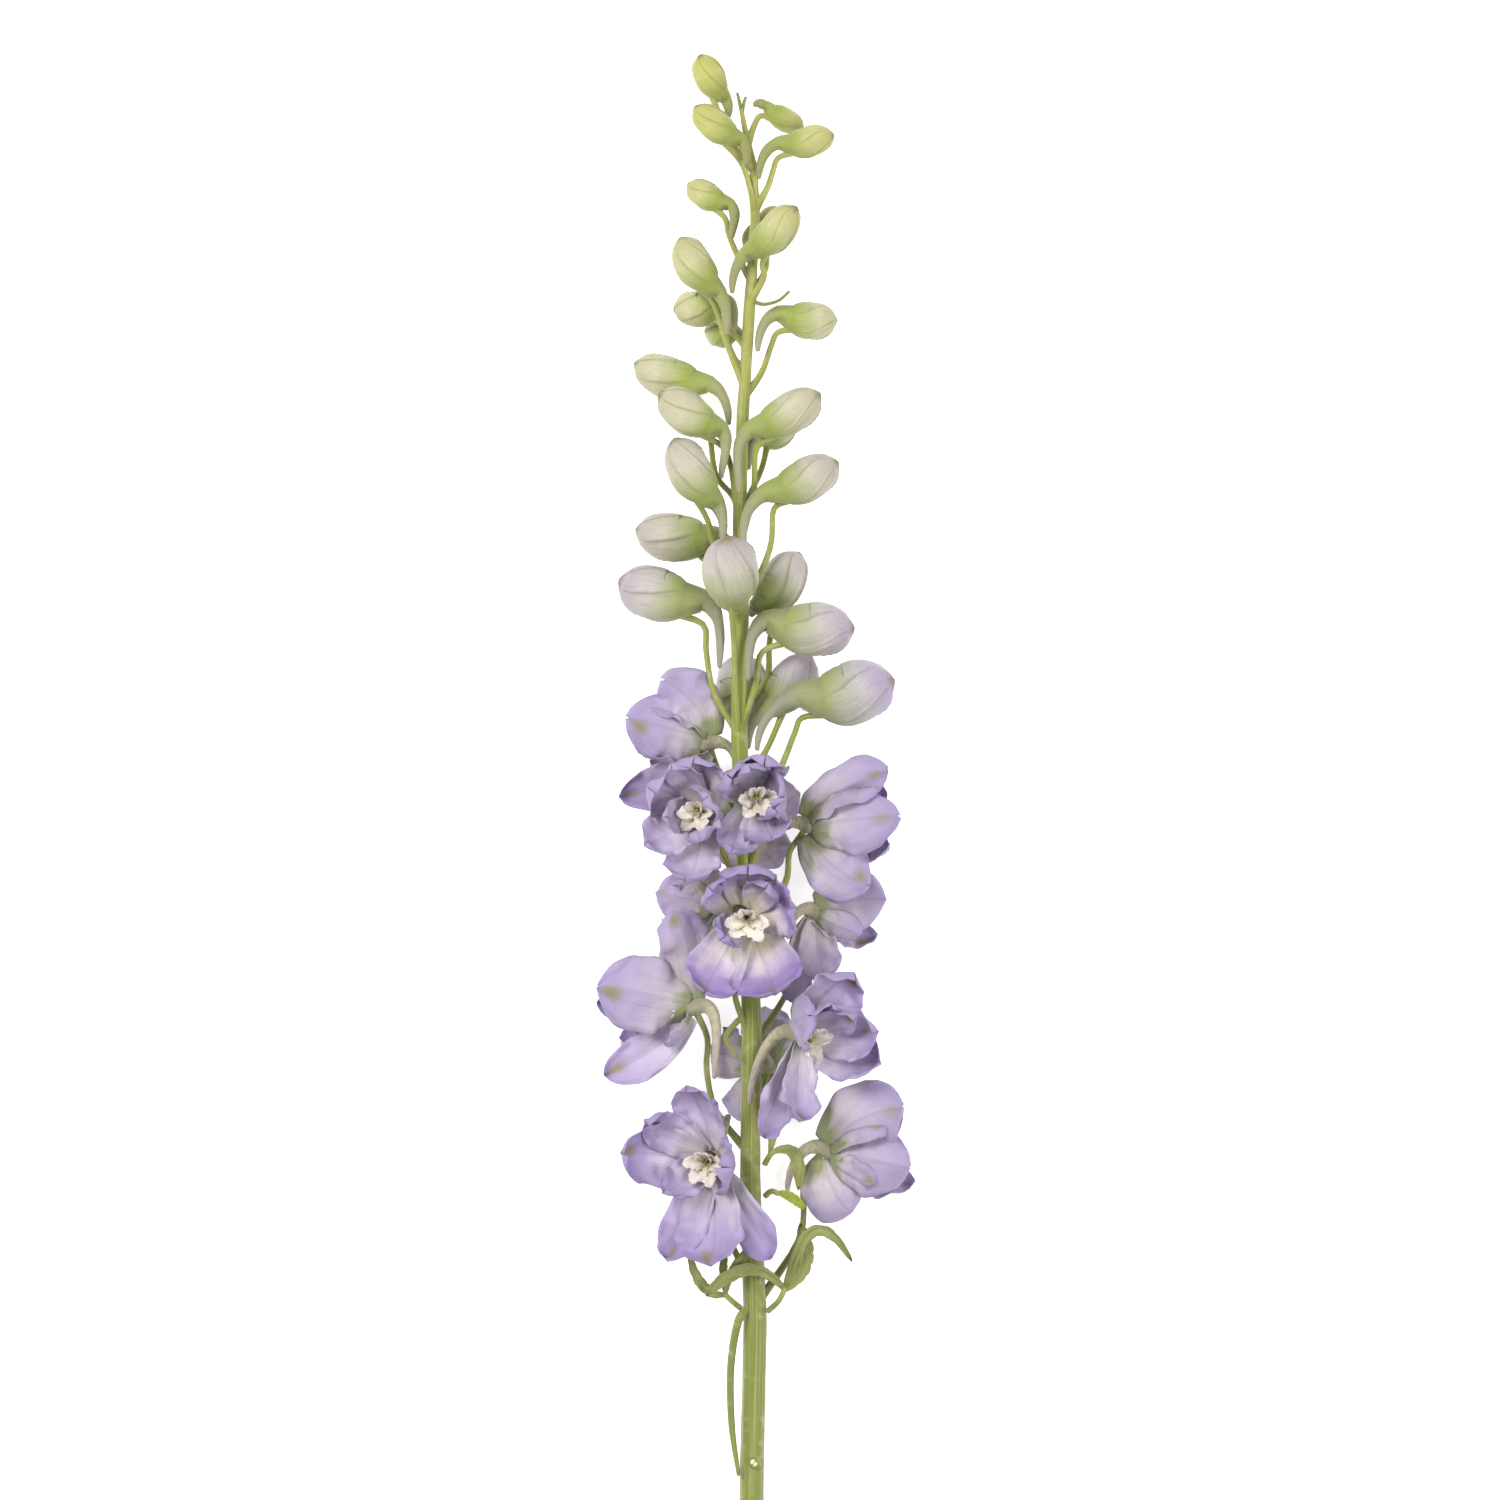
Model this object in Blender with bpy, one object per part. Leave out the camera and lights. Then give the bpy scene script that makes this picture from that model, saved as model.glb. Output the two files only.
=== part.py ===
# Delphinium flower spike, a cut stem lying on its back on a flat surface.
# Units are millimetres. +Y points to the tip of the spike, +Z is up, the surface is at z = 0.
# Heights in the tables below are measured from the middle of the stem at the same y.

import math

import bmesh
import bpy
from mathutils import Vector
from mathutils.bvhtree import BVHTree

GAP = 0.35
BLADE_THICK = 0.8
BUD_SIDES = 8
SPUR_STEPS = 3
TWIG_SIDES = 5
TWIG_STEPS = 3
BENT_SIDES = 4
BENT_STEPS = 5
SEPAL_ROWS = (0.0, 0.35, 0.75, 1.0)
INNER_ROWS = (0.0, 0.55, 1.0)
SEPAL_ACROSS = 2

# Middle of the whole spike's outline, which becomes the origin of x and y.
MIDDLE_X = 1.75
MIDDLE_Y = -33.50

# Middle line of the stem from the cut end to the tip: x, y, height over the surface, radius.
STEM = (
    (1.0, -262.0, 3.5, 3.5),
    (0.5, -210.0, 7.5, 3.45),
    (1.5, -160.5, 11.8, 3.3),
    (0.0, -119.5, 15.4, 2.85),
    (0.5, -76.0, 18.8, 2.75),
    (-0.5, -53.0, 20.3, 2.6),
    (-1.5, -31.0, 21.4, 2.45),
    (-3.0, 3.0, 22.0, 2.3),
    (-2.5, 42.0, 21.5, 2.15),
    (-3.0, 64.5, 20.5, 1.9),
    (-2.0, 94.0, 18.8, 1.7),
    (0.0, 126.5, 16.6, 1.6),
    (1.5, 148.0, 15.2, 1.4),
    (1.0, 164.0, 14.2, 1.2),
    (-1.0, 172.5, 13.7, 0.9),
    (-2.5, 180.5, 13.4, 0.6),
)

# Buds: name, pedicel root y, base, tip, width, end of the spur, points along the pedicel.
BUDS = (
    ("01", 163.0, (-9.0, 183.5, 3), (-14.0, 195.0, 6), 8.7, (-6.0, 178.0, 2), ((-5.5, 172.0, -1.5),)),
    ("02", 151.5, (-5.0, 170.5, 7), (-15.5, 180.0, 10), 8.8, (-1.0, 163.5, 6),
     ((-2.5, 165.0, 2.5), (0.0, 158.0, 1.5))),
    ("03", 171.0, (5.0, 180.0, -3), (15.0, 176.0, -6), 6.8, (1.5, 181.5, -2), ((2.5, 178.5, -2),)),
    ("04", 152.0, (10.5, 169.0, 4), (23.5, 172.5, 6), 8.7, (2.5, 160.5, 3),
     ((8.0, 166.5, 2), (6.5, 163.0, 0.5), (5.0, 158.5, 0))),
    ("05", 132.0, (-8.0, 153.0, 0), (-17.5, 159.5, -1), 7.8, (-5.0, 144.0, 1),
     ((-7.0, 149.5, -0.5), (-5.8, 144.5, -1.5), (-2.5, 137.0, -1))),
    ("06", 126.0, (2.0, 139.0, 6), (13.0, 151.5, 12), 10.2, (-5.0, 128.0, 6),
     ((3.4, 136.0, 4), (3.8, 132.5, 2.5))),
    ("07", 128.0, (2.0, 146.0, -6), (9.0, 153.0, -8), 7.2, (-1.0, 141.0, -5), ((4.5, 136.0, -3),)),
    ("08", 102.0, (-12.0, 129.0, 6), (-19.5, 143.0, 10), 10.6, (-6.5, 116.0, 6),
     ((-10.0, 125.0, 2.5), (-6.8, 115.0, 1.5), (-4.0, 107.5, 1))),
    ("09", 113.0, (-9.0, 124.5, -4), (-21.5, 124.5, -6), 10.2, (-4.5, 117.5, 1), ((-5.5, 118.0, -3.5),)),
    ("10", 107.0, (-5.5, 117.0, -9), (-11.0, 119.5, -18), 8.5, (-1.5, 112.5, -7), ()),
    ("11", 99.0, (10.5, 120.5, -2), (24.5, 121.0, -3), 10.6, (2.2, 112.0, 1),
     ((7.8, 117.5, -3), (5.9, 113.5, -3), (3.2, 106.0, -2))),
    ("12", 67.0, (-15.0, 101.5, -4), (-32.5, 109.0, -6), 11.8, (-6.0, 91.5, -2),
     ((-12.0, 92.5, -4.5), (-9.8, 78.0, -4), (-5.0, 71.5, -2))),
    ("13", 62.0, (-11.5, 89.0, 7), (-25.0, 99.5, 12), 11.6, (-8.0, 76.0, 6),
     ((-7.8, 85.0, 2.5), (-5.3, 79.0, 1.5), (-4.2, 71.0, 1))),
    ("14", 58.0, (4.0, 89.0, 5), (19.5, 99.5, 9), 11.4, (-3.0, 72.0, 6), ((1.7, 84.0, 2), (1.0, 72.0, 0.5))),
    ("15", 66.0, (3.5, 87.5, -6), (11.0, 93.0, -16), 10.0, (-0.5, 79.0, -4), ((2.8, 78.0, -6),)),
    ("16", 45.0, (-12.5, 69.5, 8), (-21.0, 86.5, 14), 12.0, (-7.5, 57.5, 7),
     ((-11.8, 64.0, 4), (-9.6, 56.0, 2))),
    ("17", 41.0, (8.5, 71.0, 3), (24.5, 80.5, 5), 12.2, (-2.0, 56.0, 6),
     ((6.7, 67.5, 0.5), (6.0, 58.5, 0), (3.2, 50.0, 0))),
    ("18", 38.0, (-12.0, 57.5, -3), (-32.0, 62.0, -5), 13.4, (-4.0, 50.5, -3), ((-9.5, 49.5, -4),)),
    ("19", 1.5, (-5.0, 41.0, 12), (-5.5, 59.0, 19), 15.4, (-5.0, 37.0, 5), ((-4.5, 30.0, 6.0), (-3.9, 13.0, 3.6))),
    ("20", 10.0, (4.0, 39.0, -5), (14.0, 55.5, -9), 12.4, (0.5, 37.5, -5), ((5.4, 29.5, -6), (4.6, 20.0, -5))),
    ("21", 4.0, (-17.5, 40.0, 2), (-36.5, 47.5, 3), 15.0, (-8.5, 23.0, 3),
     ((-13.0, 35.0, -0.5), (-12.3, 27.5, -0.5), (-10.3, 16.5, 0), (-5.2, 7.5, 0))),
    ("22", 4.0, (8.0, 33.0, 4), (29.0, 34.0, 5), 15.0, (-0.5, 19.5, 7), ((3.2, 27.0, 2.5), (1.5, 18.0, 2.5))),
    ("23", 3.0, (-3.0, 10.0, -11.5), (-2.0, 26.5, -19.5), 14.5, (-2.0, 8.5, -6), ()),
    ("24", -8.5, (6.5, 11.0, -5.5), (17.0, 26.5, -8), 12.5, (-0.5, 0.5, -6), ((4.0, -1.0, -4),)),
    ("25", -22.0, (19.0, 12.5, 6), (40.0, 19.5, 8), 17.4, (2.0, 0.0, 8),
     ((14.6, 9.0, 2.5), (12.4, 4.5, 2), (7.6, -7.0, 1))),
)

# Blooms: each sepal is tip x, y, height and width, and for some the way that its inner side
# faces; cup is the share of a sepal's way that it first spreads sideways before it turns forward.
BLOOMS = (
    {"name": "01", "base": (-11.5, 1.5, -2), "axis": (-1.0, 0.2, 0.25), "cup": 0.65,
     "outer": ((-23.5, 19.5, 6, 18, (-0.2, 0, -1)), (-33.5, 9.0, 8, 19, (-0.3, 0, -1)),
               (-30.0, -3.0, 0, 14), (-29.0, 10.0, -10, 16), (-37.0, -13.0, -1, 12, (0.2, 0, 1))),
     "inner": ((-29.0, 14.0, 3, 10), (-28.0, -5.0, -6, 10)),
     "spur": (-4.5, -3.0, -4), "root": -24.0, "via": ((-8.5, -7.0, -5),), "bee": 4.0},
    {"name": "02", "base": (-12.5, -17.0, 7), "axis": (-0.35, 0.0, 1.0), "cup": 0.65,
     "outer": ((-15.0, -0.5, 17, 15), (-10.5, -12.0, 21, 13), (-29.5, -9.5, 16, 15),
               (-30.0, -27.0, 14, 15), (-17.5, -38.0, 15, 16)),
     "inner": ((-22.0, -3.0, 20, 10), (-13.0, -26.0, 22, 11), (-25.0, -19.0, 20, 10)),
     "spur": (-9.0, -10.0, -1), "root": -42.0, "via": ((-9.0, -26.0, 3),), "bee": 8.6},
    {"name": "03", "base": (1.5, -13.0, 8), "axis": (0.06, -0.02, 1.0), "cup": 0.75,
     "outer": ((4.5, -0.5, 21, 15), (-7.5, -6.0, 23, 13), (11.0, -13.0, 22, 15),
               (6.5, -26.0, 21, 15), (-6.0, -29.5, 21, 13)),
     "inner": ((-0.5, -3.0, 24, 11), (8.5, -17.5, 23, 10)),
     "spur": (2.5, -4.5, 3), "root": -38.0, "via": ((2.5, -24.0, 5),), "bee": 8.6},
    {"name": "04", "base": (16.0, -21.5, 1), "axis": (1.0, 0.1, 0.2), "cup": 0.65,
     "outer": ((38.5, -6.0, 4, 14, (0, 0.3, -1)), (40.5, -18.0, 13, 18),
               (32.5, -37.5, 7, 17, (0, 0, -1)), (37.0, -9.0, -10, 16), (39.0, -29.0, -6, 16)),
     "inner": ((35.0, -9.5, 9, 10), (33.0, -32.0, -5, 10)),
     "spur": (8.0, -23.5, 0), "root": -52.0,
     "via": ((13.8, -24.5, -1), (11.0, -29.0, -1.5), (9.6, -38.0, -1.5)), "bee": 5.0},
    {"name": "05", "base": (17.5, -45.5, -6), "axis": (1.0, -0.3, -0.3), "cup": 0.6,
     "outer": ((38.5, -42.0, -4, 17, (0, 0, -1)), (21.5, -64.5, -3, 12, (0, 0, 1)),
               (34.0, -55.0, -15, 15), (34.0, -37.0, -15, 15), (12.0, -71.0, -7, 10, (0, 0, 1))),
     "inner": ((31.0, -52.0, -1, 9),),
     "spur": (11.5, -50.0, -3), "root": -84.0, "via": ((12.0, -53.0, -8), (11.5, -66.0, -9)), "bee": 5.0},
    {"name": "06", "base": (-1.0, -46.0, 9), "axis": (0.0, -0.1, 1.0), "cup": 0.7,
     "outer": ((-0.5, -30.5, 22, 16), (13.5, -43.0, 23, 17), (-12.5, -37.0, 20, 12),
               (-13.5, -68.5, 16, 17), (7.5, -69.0, 16, 20)),
     "inner": ((5.5, -36.0, 24, 11), (-9.0, -53.0, 21, 10)),
     "spur": (-1.5, -37.0, 5), "root": -82.0, "via": ((-4.5, -66.0, 5),), "bee": 9.4},
    {"name": "07", "base": (-15.5, -72.5, 2), "axis": (-1.0, 0.05, 0.1), "cup": 0.6,
     "outer": ((-20.5, -45.0, 6, 15, (-0.3, 0, -1)), (-42.0, -66.0, 11, 21, (0, 0, -1)),
               (-43.0, -71.0, -3, 12), (-41.0, -91.0, 2, 13, (0, 0, 1)), (-35.0, -84.0, -13, 16)),
     "inner": ((-22.5, -83.5, 8, 9), (-33.0, -61.0, -10, 16)),
     "spur": (-10.0, -92.0, 4), "root": -114.0, "via": ((-12.0, -81.0, -2), (-12.2, -90.0, -3), (-9.5, -101.5, -2)),
     "bee": 4.5},
    {"name": "08", "base": (-9.0, -44.0, -7), "axis": (-0.7, 0.1, -0.6), "cup": 0.6,
     "outer": ((-27.0, -40.0, -7, 14), (-19.0, -31.0, -11, 14), (-10.0, -32.0, -18, 13),
               (-24.0, -53.0, -15, 14), (-12.0, -55.0, -20, 13)),
     "inner": ((-24.0, -44.0, -9, 9),),
     "spur": (-6.0, -38.0, -3), "root": -66.0, "via": ((-6.5, -54.0, -5),), "bee": 5.0},
    {"name": "09", "base": (13.0, -80.0, 8), "axis": (0.6, 0.0, 0.75), "cup": 0.6,
     "outer": ((29.0, -61.0, 12, 17), (36.5, -78.0, 14, 16), (14.5, -73.5, 23, 16, (0.9, 0, -0.5)),
               (2.5, -107.0, 14, 12), (37.0, -88.0, 10, 16)),
     "inner": ((22.0, -69.0, 21, 11), (13.0, -103.5, 17, 13), (30.0, -73.0, 18, 10)),
     "spur": (0.0, -99.0, 7), "root": -112.0, "via": ((7.5, -96.0, 2),), "bee": 8.2},
    {"name": "10", "base": (21.0, -113.0, -2), "axis": (1.0, -0.2, -0.05), "cup": 0.65,
     "outer": ((42.5, -100.0, 6, 20, (0, 0, -1)), (44.5, -117.0, 7, 20, (0, 0, -1)),
               (28.5, -130.0, 3, 18, (0, 0, -1)), (45.5, -124.0, -9, 17), (40.0, -98.0, -9, 16)),
     "inner": ((38.0, -105.0, 6, 10), (35.0, -122.0, 6, 10)),
     "spur": (10.5, -124.5, -1), "root": -157.0,
     "via": ((16.5, -117.5, -5), (15.0, -122.5, -7), (14.0, -138.0, -6)), "bee": 4.2},
    {"name": "11", "base": (-10.0, -115.0, 4), "axis": (-0.35, 0.0, 1.0), "cup": 0.6,
     "outer": ((-17.5, -92.5, 13, 14), (-37.0, -112.0, 13, 18), (-4.0, -116.0, 20, 16),
               (-10.5, -144.5, 14, 20), (-23.0, -143.5, 9, 13)),
     "inner": ((-30.0, -102.5, 12, 13), (6.5, -141.5, 11, 12), (-25.0, -124.0, 17, 11)),
     "spur": (-6.0, -104.0, 3), "root": -152.0, "via": ((-7.0, -134.0, 3),), "bee": 9.2},
    {"name": "12", "base": (-2.0, -20.0, -8), "axis": (0.05, 0.1, -1.0), "cup": 0.75,
     "outer": ((-1.0, -3.0, -20, 15), (-17.0, -13.0, -20, 15), (15.0, -12.0, -20, 15),
               (-8.0, -33.0, -20, 14), (9.0, -34.0, -20, 15)),
     "inner": ((-8.0, -9.0, -21, 9),),
     "spur": (-5.0, -11.0, -5), "root": -44.0, "via": ((-2.5, -32.0, -5),), "bee": 5.0},
    {"name": "13", "base": (5.0, -90.0, -7), "axis": (0.15, 0.1, -1.0), "cup": 0.75,
     "outer": ((4.0, -72.0, -17, 14), (-12.0, -84.0, -16, 15), (21.0, -82.0, -17, 15),
               (-4.0, -106.0, -16, 14), (14.0, -105.0, -16, 15)),
     "inner": ((9.0, -79.0, -17, 9),),
     "spur": (-2.0, -80.0, -5), "root": -122.0, "via": ((2.5, -106.0, -5),), "bee": 4.5},
)

# Leaves: a stalk path and its leaflets (start, bend, tip, width, facing direction).
LEAVES = (
    {"name": "leaf_left", "stalk": ((-2.8, -157.0, 2.0), (-5.0, -155.0, 3.5), (-7.5, -152.5, 4.5)),
     "blades": (((-6.8, -153.0, 4.4), (-14.0, -154.0, 6.0), (-17.5, -141.5, 4.0), 3.5, (0.8, 0, 1)),
                ((-6.8, -153.0, 4.2), (-6.5, -145.0, 8.0), (2.0, -138.5, 8.0), 3.4, (0.6, 0, 1)),
                ((-6.8, -153.0, 4.2), (-8.5, -148.0, 1.5), (-7.0, -141.0, -1.0), 3.0, (0.9, 0, 1)))},
    {"name": "leaf_right", "stalk": ((4.9, -158.0, 2.5), (8.0, -155.0, 3.5), (10.0, -151.0, 4.0)),
     "blades": (((9.7, -151.5, 4.0), (-1.0, -138.5, 10.0), (-12.3, -153.0, 8.5), 4.8, (0, -0.6, 1)),
                ((9.7, -151.5, 4.0), (17.0, -122.0, 9.0), (28.8, -143.5, 4.0), 3.8, (-0.5, -0.4, 1)),
                ((9.7, -151.5, 4.0), (17.5, -146.0, 4.0), (14.0, -133.0, 1.5), 6.0, (0.3, 0.2, 1)))},
    {"name": "leaf_middle", "stalk": ((4.1, -116.5, 0.0), (5.5, -114.0, 1.0), (7.0, -112.5, 2.0)),
     "blades": (((6.5, -112.8, 1.8), (15.0, -109.0, 4.0), (13.5, -123.5, 3.0), 4.0, (0.3, 0.3, 1)),
                ((5.5, -114.0, 1.0), (6.0, -109.0, 0.5), (8.0, -103.5, -1.0), 2.4, (0, 0, 1)))},
    {"name": "leaf_small", "stalk": ((4.2, -125.5, 0.5), (6.0, -124.0, 1.5), (8.0, -124.5, 3.0)),
     "blades": (((7.5, -124.4, 2.8), (11.0, -124.0, 5.0), (15.5, -129.0, 4.0), 3.0, (0, 0.5, 1)),)},
)

# Thin growths fused into the stem: path points and radii.
TWIGS = (
    (((-0.5, -156.8, 1.5), (-3.4, -161.0, 4.0), (-5.4, -173.5, 3.0), (-5.2, -190.0, 2.0),
      (-3.2, -204.5, 3.6)), (1.3, 1.2, 1.1, 1.0, 0.6)),
    (((-1.0, -74.5, 0.5), (-4.0, -76.5, 2.0), (-6.8, -81.0, 3.0), (-3.5, -86.0, 5.0)),
     (1.0, 0.9, 0.8, 0.5)),
    (((-2.5, 180.0, 0.0), (-3.0, 182.5, 0.3), (-3.6, 185.0, 0.6)), (0.55, 0.5, 0.4)),
    (((-2.2, 179.5, 0.0), (-1.8, 182.0, -0.4), (-1.2, 184.0, -0.8)), (0.55, 0.5, 0.4)),
    (((1.0, 126.0, 0.0), (4.0, 125.0, 3.0), (8.0, 126.0, 4.0), (11.0, 128.5, 4.5)),
     (0.6, 0.5, 0.45, 0.4)),
)

COLORS = {
    "stem": (0.28, 0.42, 0.10, 1.0),
    "bud": (0.62, 0.60, 0.45, 1.0),
    "bloom": (0.50, 0.42, 0.72, 1.0),
    "bee": (0.85, 0.82, 0.68, 1.0),
    "leaf": (0.22, 0.33, 0.12, 1.0),
}


# Placing points

def axis_at(y):
    """Point on the middle line of the stem at the given y, and the radius there."""
    for low, high in zip(STEM, STEM[1:]):
        if low[1] <= y <= high[1]:
            t = (y - low[1]) / (high[1] - low[1])
            mixed = [a + (b - a) * t for a, b in zip(low, high)]
            return Vector(mixed[:3]), mixed[3]
    end = STEM[0] if y < STEM[0][1] else STEM[-1]
    return Vector(end[:3]), end[3]


def place(point):
    """Turn a table point into a real one: its height is measured from the stem's middle."""
    middle, _ = axis_at(point[1])
    return Vector((point[0] - MIDDLE_X, point[1] - MIDDLE_Y, point[2] + middle.z))


def root_at(y):
    middle, _ = axis_at(y)
    return Vector((middle.x - MIDDLE_X, y - MIDDLE_Y, middle.z))


def smooth_path(points, steps):
    """Catmull-Rom curve through the points, with the given number of steps in all."""
    padded = [points[0] * 2 - points[1]] + list(points) + [points[-1] * 2 - points[-2]]
    spans = len(points) - 1
    path = []
    for i in range(steps + 1):
        at = min(i / steps * spans, spans - 1e-6)
        k = int(at)
        t = at - k
        a, b, c, d = padded[k:k + 4]
        path.append(0.5 * (2 * b + (c - a) * t + (2 * a - 5 * b + 4 * c - d) * t ** 2
                           + (3 * b - a - 3 * c + d) * t ** 3))
    return path


def bezier(a, b, c, d, t):
    s = 1.0 - t
    return a * s ** 3 + b * 3 * s * s * t + c * 3 * s * t * t + d * t ** 3


def blend(values, t):
    """Value at t (0 to 1) of evenly spaced numbers."""
    at = min(max(t, 0.0), 1.0) * (len(values) - 1)
    k = min(int(at), len(values) - 2)
    return values[k] + (values[k + 1] - values[k]) * (at - k)


# Building closed meshes

def make_object(name, verts, faces):
    mesh = bpy.data.meshes.new(name)
    mesh.from_pydata([tuple(v) for v in verts], [], faces)
    mesh.validate()
    obj = bpy.data.objects.new(name, mesh)
    bpy.context.scene.collection.objects.link(obj)
    return obj


def tube(path, radii, sides, ridge=0.0, turn=0.0):
    """Closed tube along a path with a pointed cap at both ends; ridge raises every second side."""
    verts = []
    faces = []
    tangents = []
    for i in range(len(path)):
        ahead = path[min(i + 1, len(path) - 1)]
        behind = path[max(i - 1, 0)]
        tangents.append((ahead - behind).normalized())
    side = tangents[0].orthogonal().normalized()
    for i, point in enumerate(path):
        side = (side - tangents[i] * side.dot(tangents[i])).normalized()
        other = tangents[i].cross(side)
        for k in range(sides):
            angle = 2 * math.pi * k / sides + turn * i
            r = radii[i] * (1.0 + (ridge if k % 2 else -ridge))
            verts.append(point + side * (math.cos(angle) * r) + other * (math.sin(angle) * r))
    for i in range(len(path) - 1):
        for k in range(sides):
            a = i * sides + k
            b = i * sides + (k + 1) % sides
            faces.append((a, b, b + sides, a + sides))
    first = len(verts)
    verts.append(path[0] - tangents[0] * radii[0] * 0.35)
    verts.append(path[-1] + tangents[-1] * radii[-1] * 0.35)
    last = (len(path) - 1) * sides
    for k in range(sides):
        n = (k + 1) % sides
        faces.append((first, n, k))
        faces.append((first + 1, last + k, last + n))
    return verts, faces


def blade(base, bend, tip, width, face, cup, rows, across, thick, wave=0.0, root=0.34):
    """Closed leaf-shaped sheet from base to tip; face is the side that it shows."""
    grid = []
    for v in rows:
        s = 1.0 - v
        middle = base * s * s + bend * 2 * s * v + tip * v * v
        along = ((bend - base) * 2 * s + (tip - bend) * 2 * v).normalized()
        out = (face - along * face.dot(along)).normalized()
        side = along.cross(out)
        if v < 0.6:
            half = root + (1.0 - root) * math.sin(math.pi / 2 * v / 0.6)
        else:
            half = max(math.sqrt(max(1.0 - ((v - 0.6) / 0.4) ** 2, 0.0)), 0.3)
        half *= width / 2
        row = []
        for k in range(across + 1):
            u = 2.0 * k / across - 1.0
            lift = cup * width * u * u * (0.35 + 0.65 * v)
            ripple = wave * width * math.sin(7.0 * v + 2.0 * u + wave * 90.0) * abs(u)
            point = middle + side * (u * half) + out * (lift + ripple)
            point.z = max(point.z, thick / 2)
            row.append(point)
        grid.append(row)
    return thicken(grid, thick)


def thicken(grid, thick):
    rows = len(grid)
    cols = len(grid[0])
    front = []
    back = []
    for i in range(rows):
        for k in range(cols):
            du = grid[i][min(k + 1, cols - 1)] - grid[i][max(k - 1, 0)]
            dv = grid[min(i + 1, rows - 1)][k] - grid[max(i - 1, 0)][k]
            normal = du.cross(dv).normalized() * (thick / 2)
            front.append(grid[i][k] + normal)
            back.append(grid[i][k] - normal)
    count = rows * cols
    faces = []
    for i in range(rows - 1):
        for k in range(cols - 1):
            a = i * cols + k
            b, c, d = a + 1, a + cols + 1, a + cols
            faces += [(a, b, c), (a, c, d)]
            faces += [(count + a, count + c, count + b), (count + a, count + d, count + c)]
    rim = list(range(cols)) + [i * cols + cols - 1 for i in range(1, rows)]
    rim += [(rows - 1) * cols + k for k in range(cols - 2, -1, -1)]
    rim += [i * cols for i in range(rows - 2, 0, -1)]
    for i, a in enumerate(rim):
        b = rim[(i + 1) % len(rim)]
        faces.append((a, count + a, count + b, b))
    return front + back, faces


def fuse(name, parts):
    """Join closed pieces into one body with a single union."""
    objects = [make_object(name + "_piece", verts, faces) for verts, faces in parts]
    first = objects[0]
    if len(objects) > 1:
        group = bpy.data.collections.new(name + "_pieces")
        for piece in objects[1:]:
            group.objects.link(piece)
        union = first.modifiers.new("union", "BOOLEAN")
        union.operation = "UNION"
        union.operand_type = "COLLECTION"
        union.collection = group
        union.solver = "MANIFOLD"
        bpy.context.view_layer.update()
        depsgraph = bpy.context.evaluated_depsgraph_get()
        mesh = bpy.data.meshes.new_from_object(first.evaluated_get(depsgraph))
        first.modifiers.clear()
        first.data = mesh
        for piece in objects[1:]:
            bpy.data.objects.remove(piece)
        bpy.data.collections.remove(group)
        keep_outside(first.data)
    first.name = name
    first.data.name = name
    for vertex in first.data.vertices:
        vertex.co.z = max(vertex.co.z, 0.0)
    return first


def keep_outside(mesh):
    """Fill pockets that the union closed in, and merge the flat scraps that it left."""
    shape = bmesh.new()
    shape.from_mesh(mesh)
    left = set(shape.faces)
    groups = []
    while left:
        group = [left.pop()]
        for face in group:
            for edge in face.edges:
                for other in edge.link_faces:
                    if other in left and len(edge.link_faces) == 2:
                        left.remove(other)
                        group.append(other)
        groups.append(group)
    groups.sort(key=len)
    for group in groups[:-1]:
        bmesh.ops.delete(shape, geom=group, context="FACES")
    bmesh.ops.dissolve_limit(shape, angle_limit=math.radians(4.0), verts=shape.verts, edges=shape.edges)
    bmesh.ops.triangulate(shape, faces=shape.faces)
    shape.to_mesh(mesh)
    shape.free()


def finish(obj, kind):
    material = bpy.data.materials.new(obj.name + "_color")
    material.use_nodes = True
    shader = material.node_tree.nodes["Principled BSDF"]
    shader.inputs["Base Color"].default_value = COLORS[kind]
    shader.inputs["Roughness"].default_value = 0.6
    obj.data.materials.clear()
    obj.data.materials.append(material)
    for polygon in obj.data.polygons:
        polygon.use_smooth = kind in ("bud", "stem")


# Parts of the plant

def bud_piece(base, tip, width, spur_end):
    """Closed bud that runs on into its spur, as one swept body."""
    axis = (tip - base).normalized()
    length = (tip - base).length
    up = Vector((0.0, 1.0, 0.0))
    up = (up - axis * up.dot(axis)).normalized()
    body = (0.03, 0.12, 0.32, 0.6, 0.82, 0.95)
    size = (0.34, 0.66, 0.94, 1.0, 0.88, 0.66)
    path = []
    radii = []
    for t, r in zip(body, size):
        shift = up * (max(t - 0.6, 0.0) * width * 0.35)
        path.append(tip.lerp(base, t) + shift)
        radii.append(r * width / 2)
    start = base + up * (width * 0.2)
    reach = (spur_end - start).length
    first = start - axis * (reach * 0.45) + up * (reach * 0.12)
    second = spur_end + Vector((0.0, reach * 0.35, 0.0))
    for i in range(1, SPUR_STEPS + 1):
        t = 0.08 + 0.92 * i / SPUR_STEPS
        path.append(bezier(start, first, second, spur_end, t))
        radii.append(blend((0.30 * width / 2 + 0.45, 1.4, 1.15, 0.65), i / SPUR_STEPS))
    return tube(path, radii, BUD_SIDES, ridge=0.06)


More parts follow.
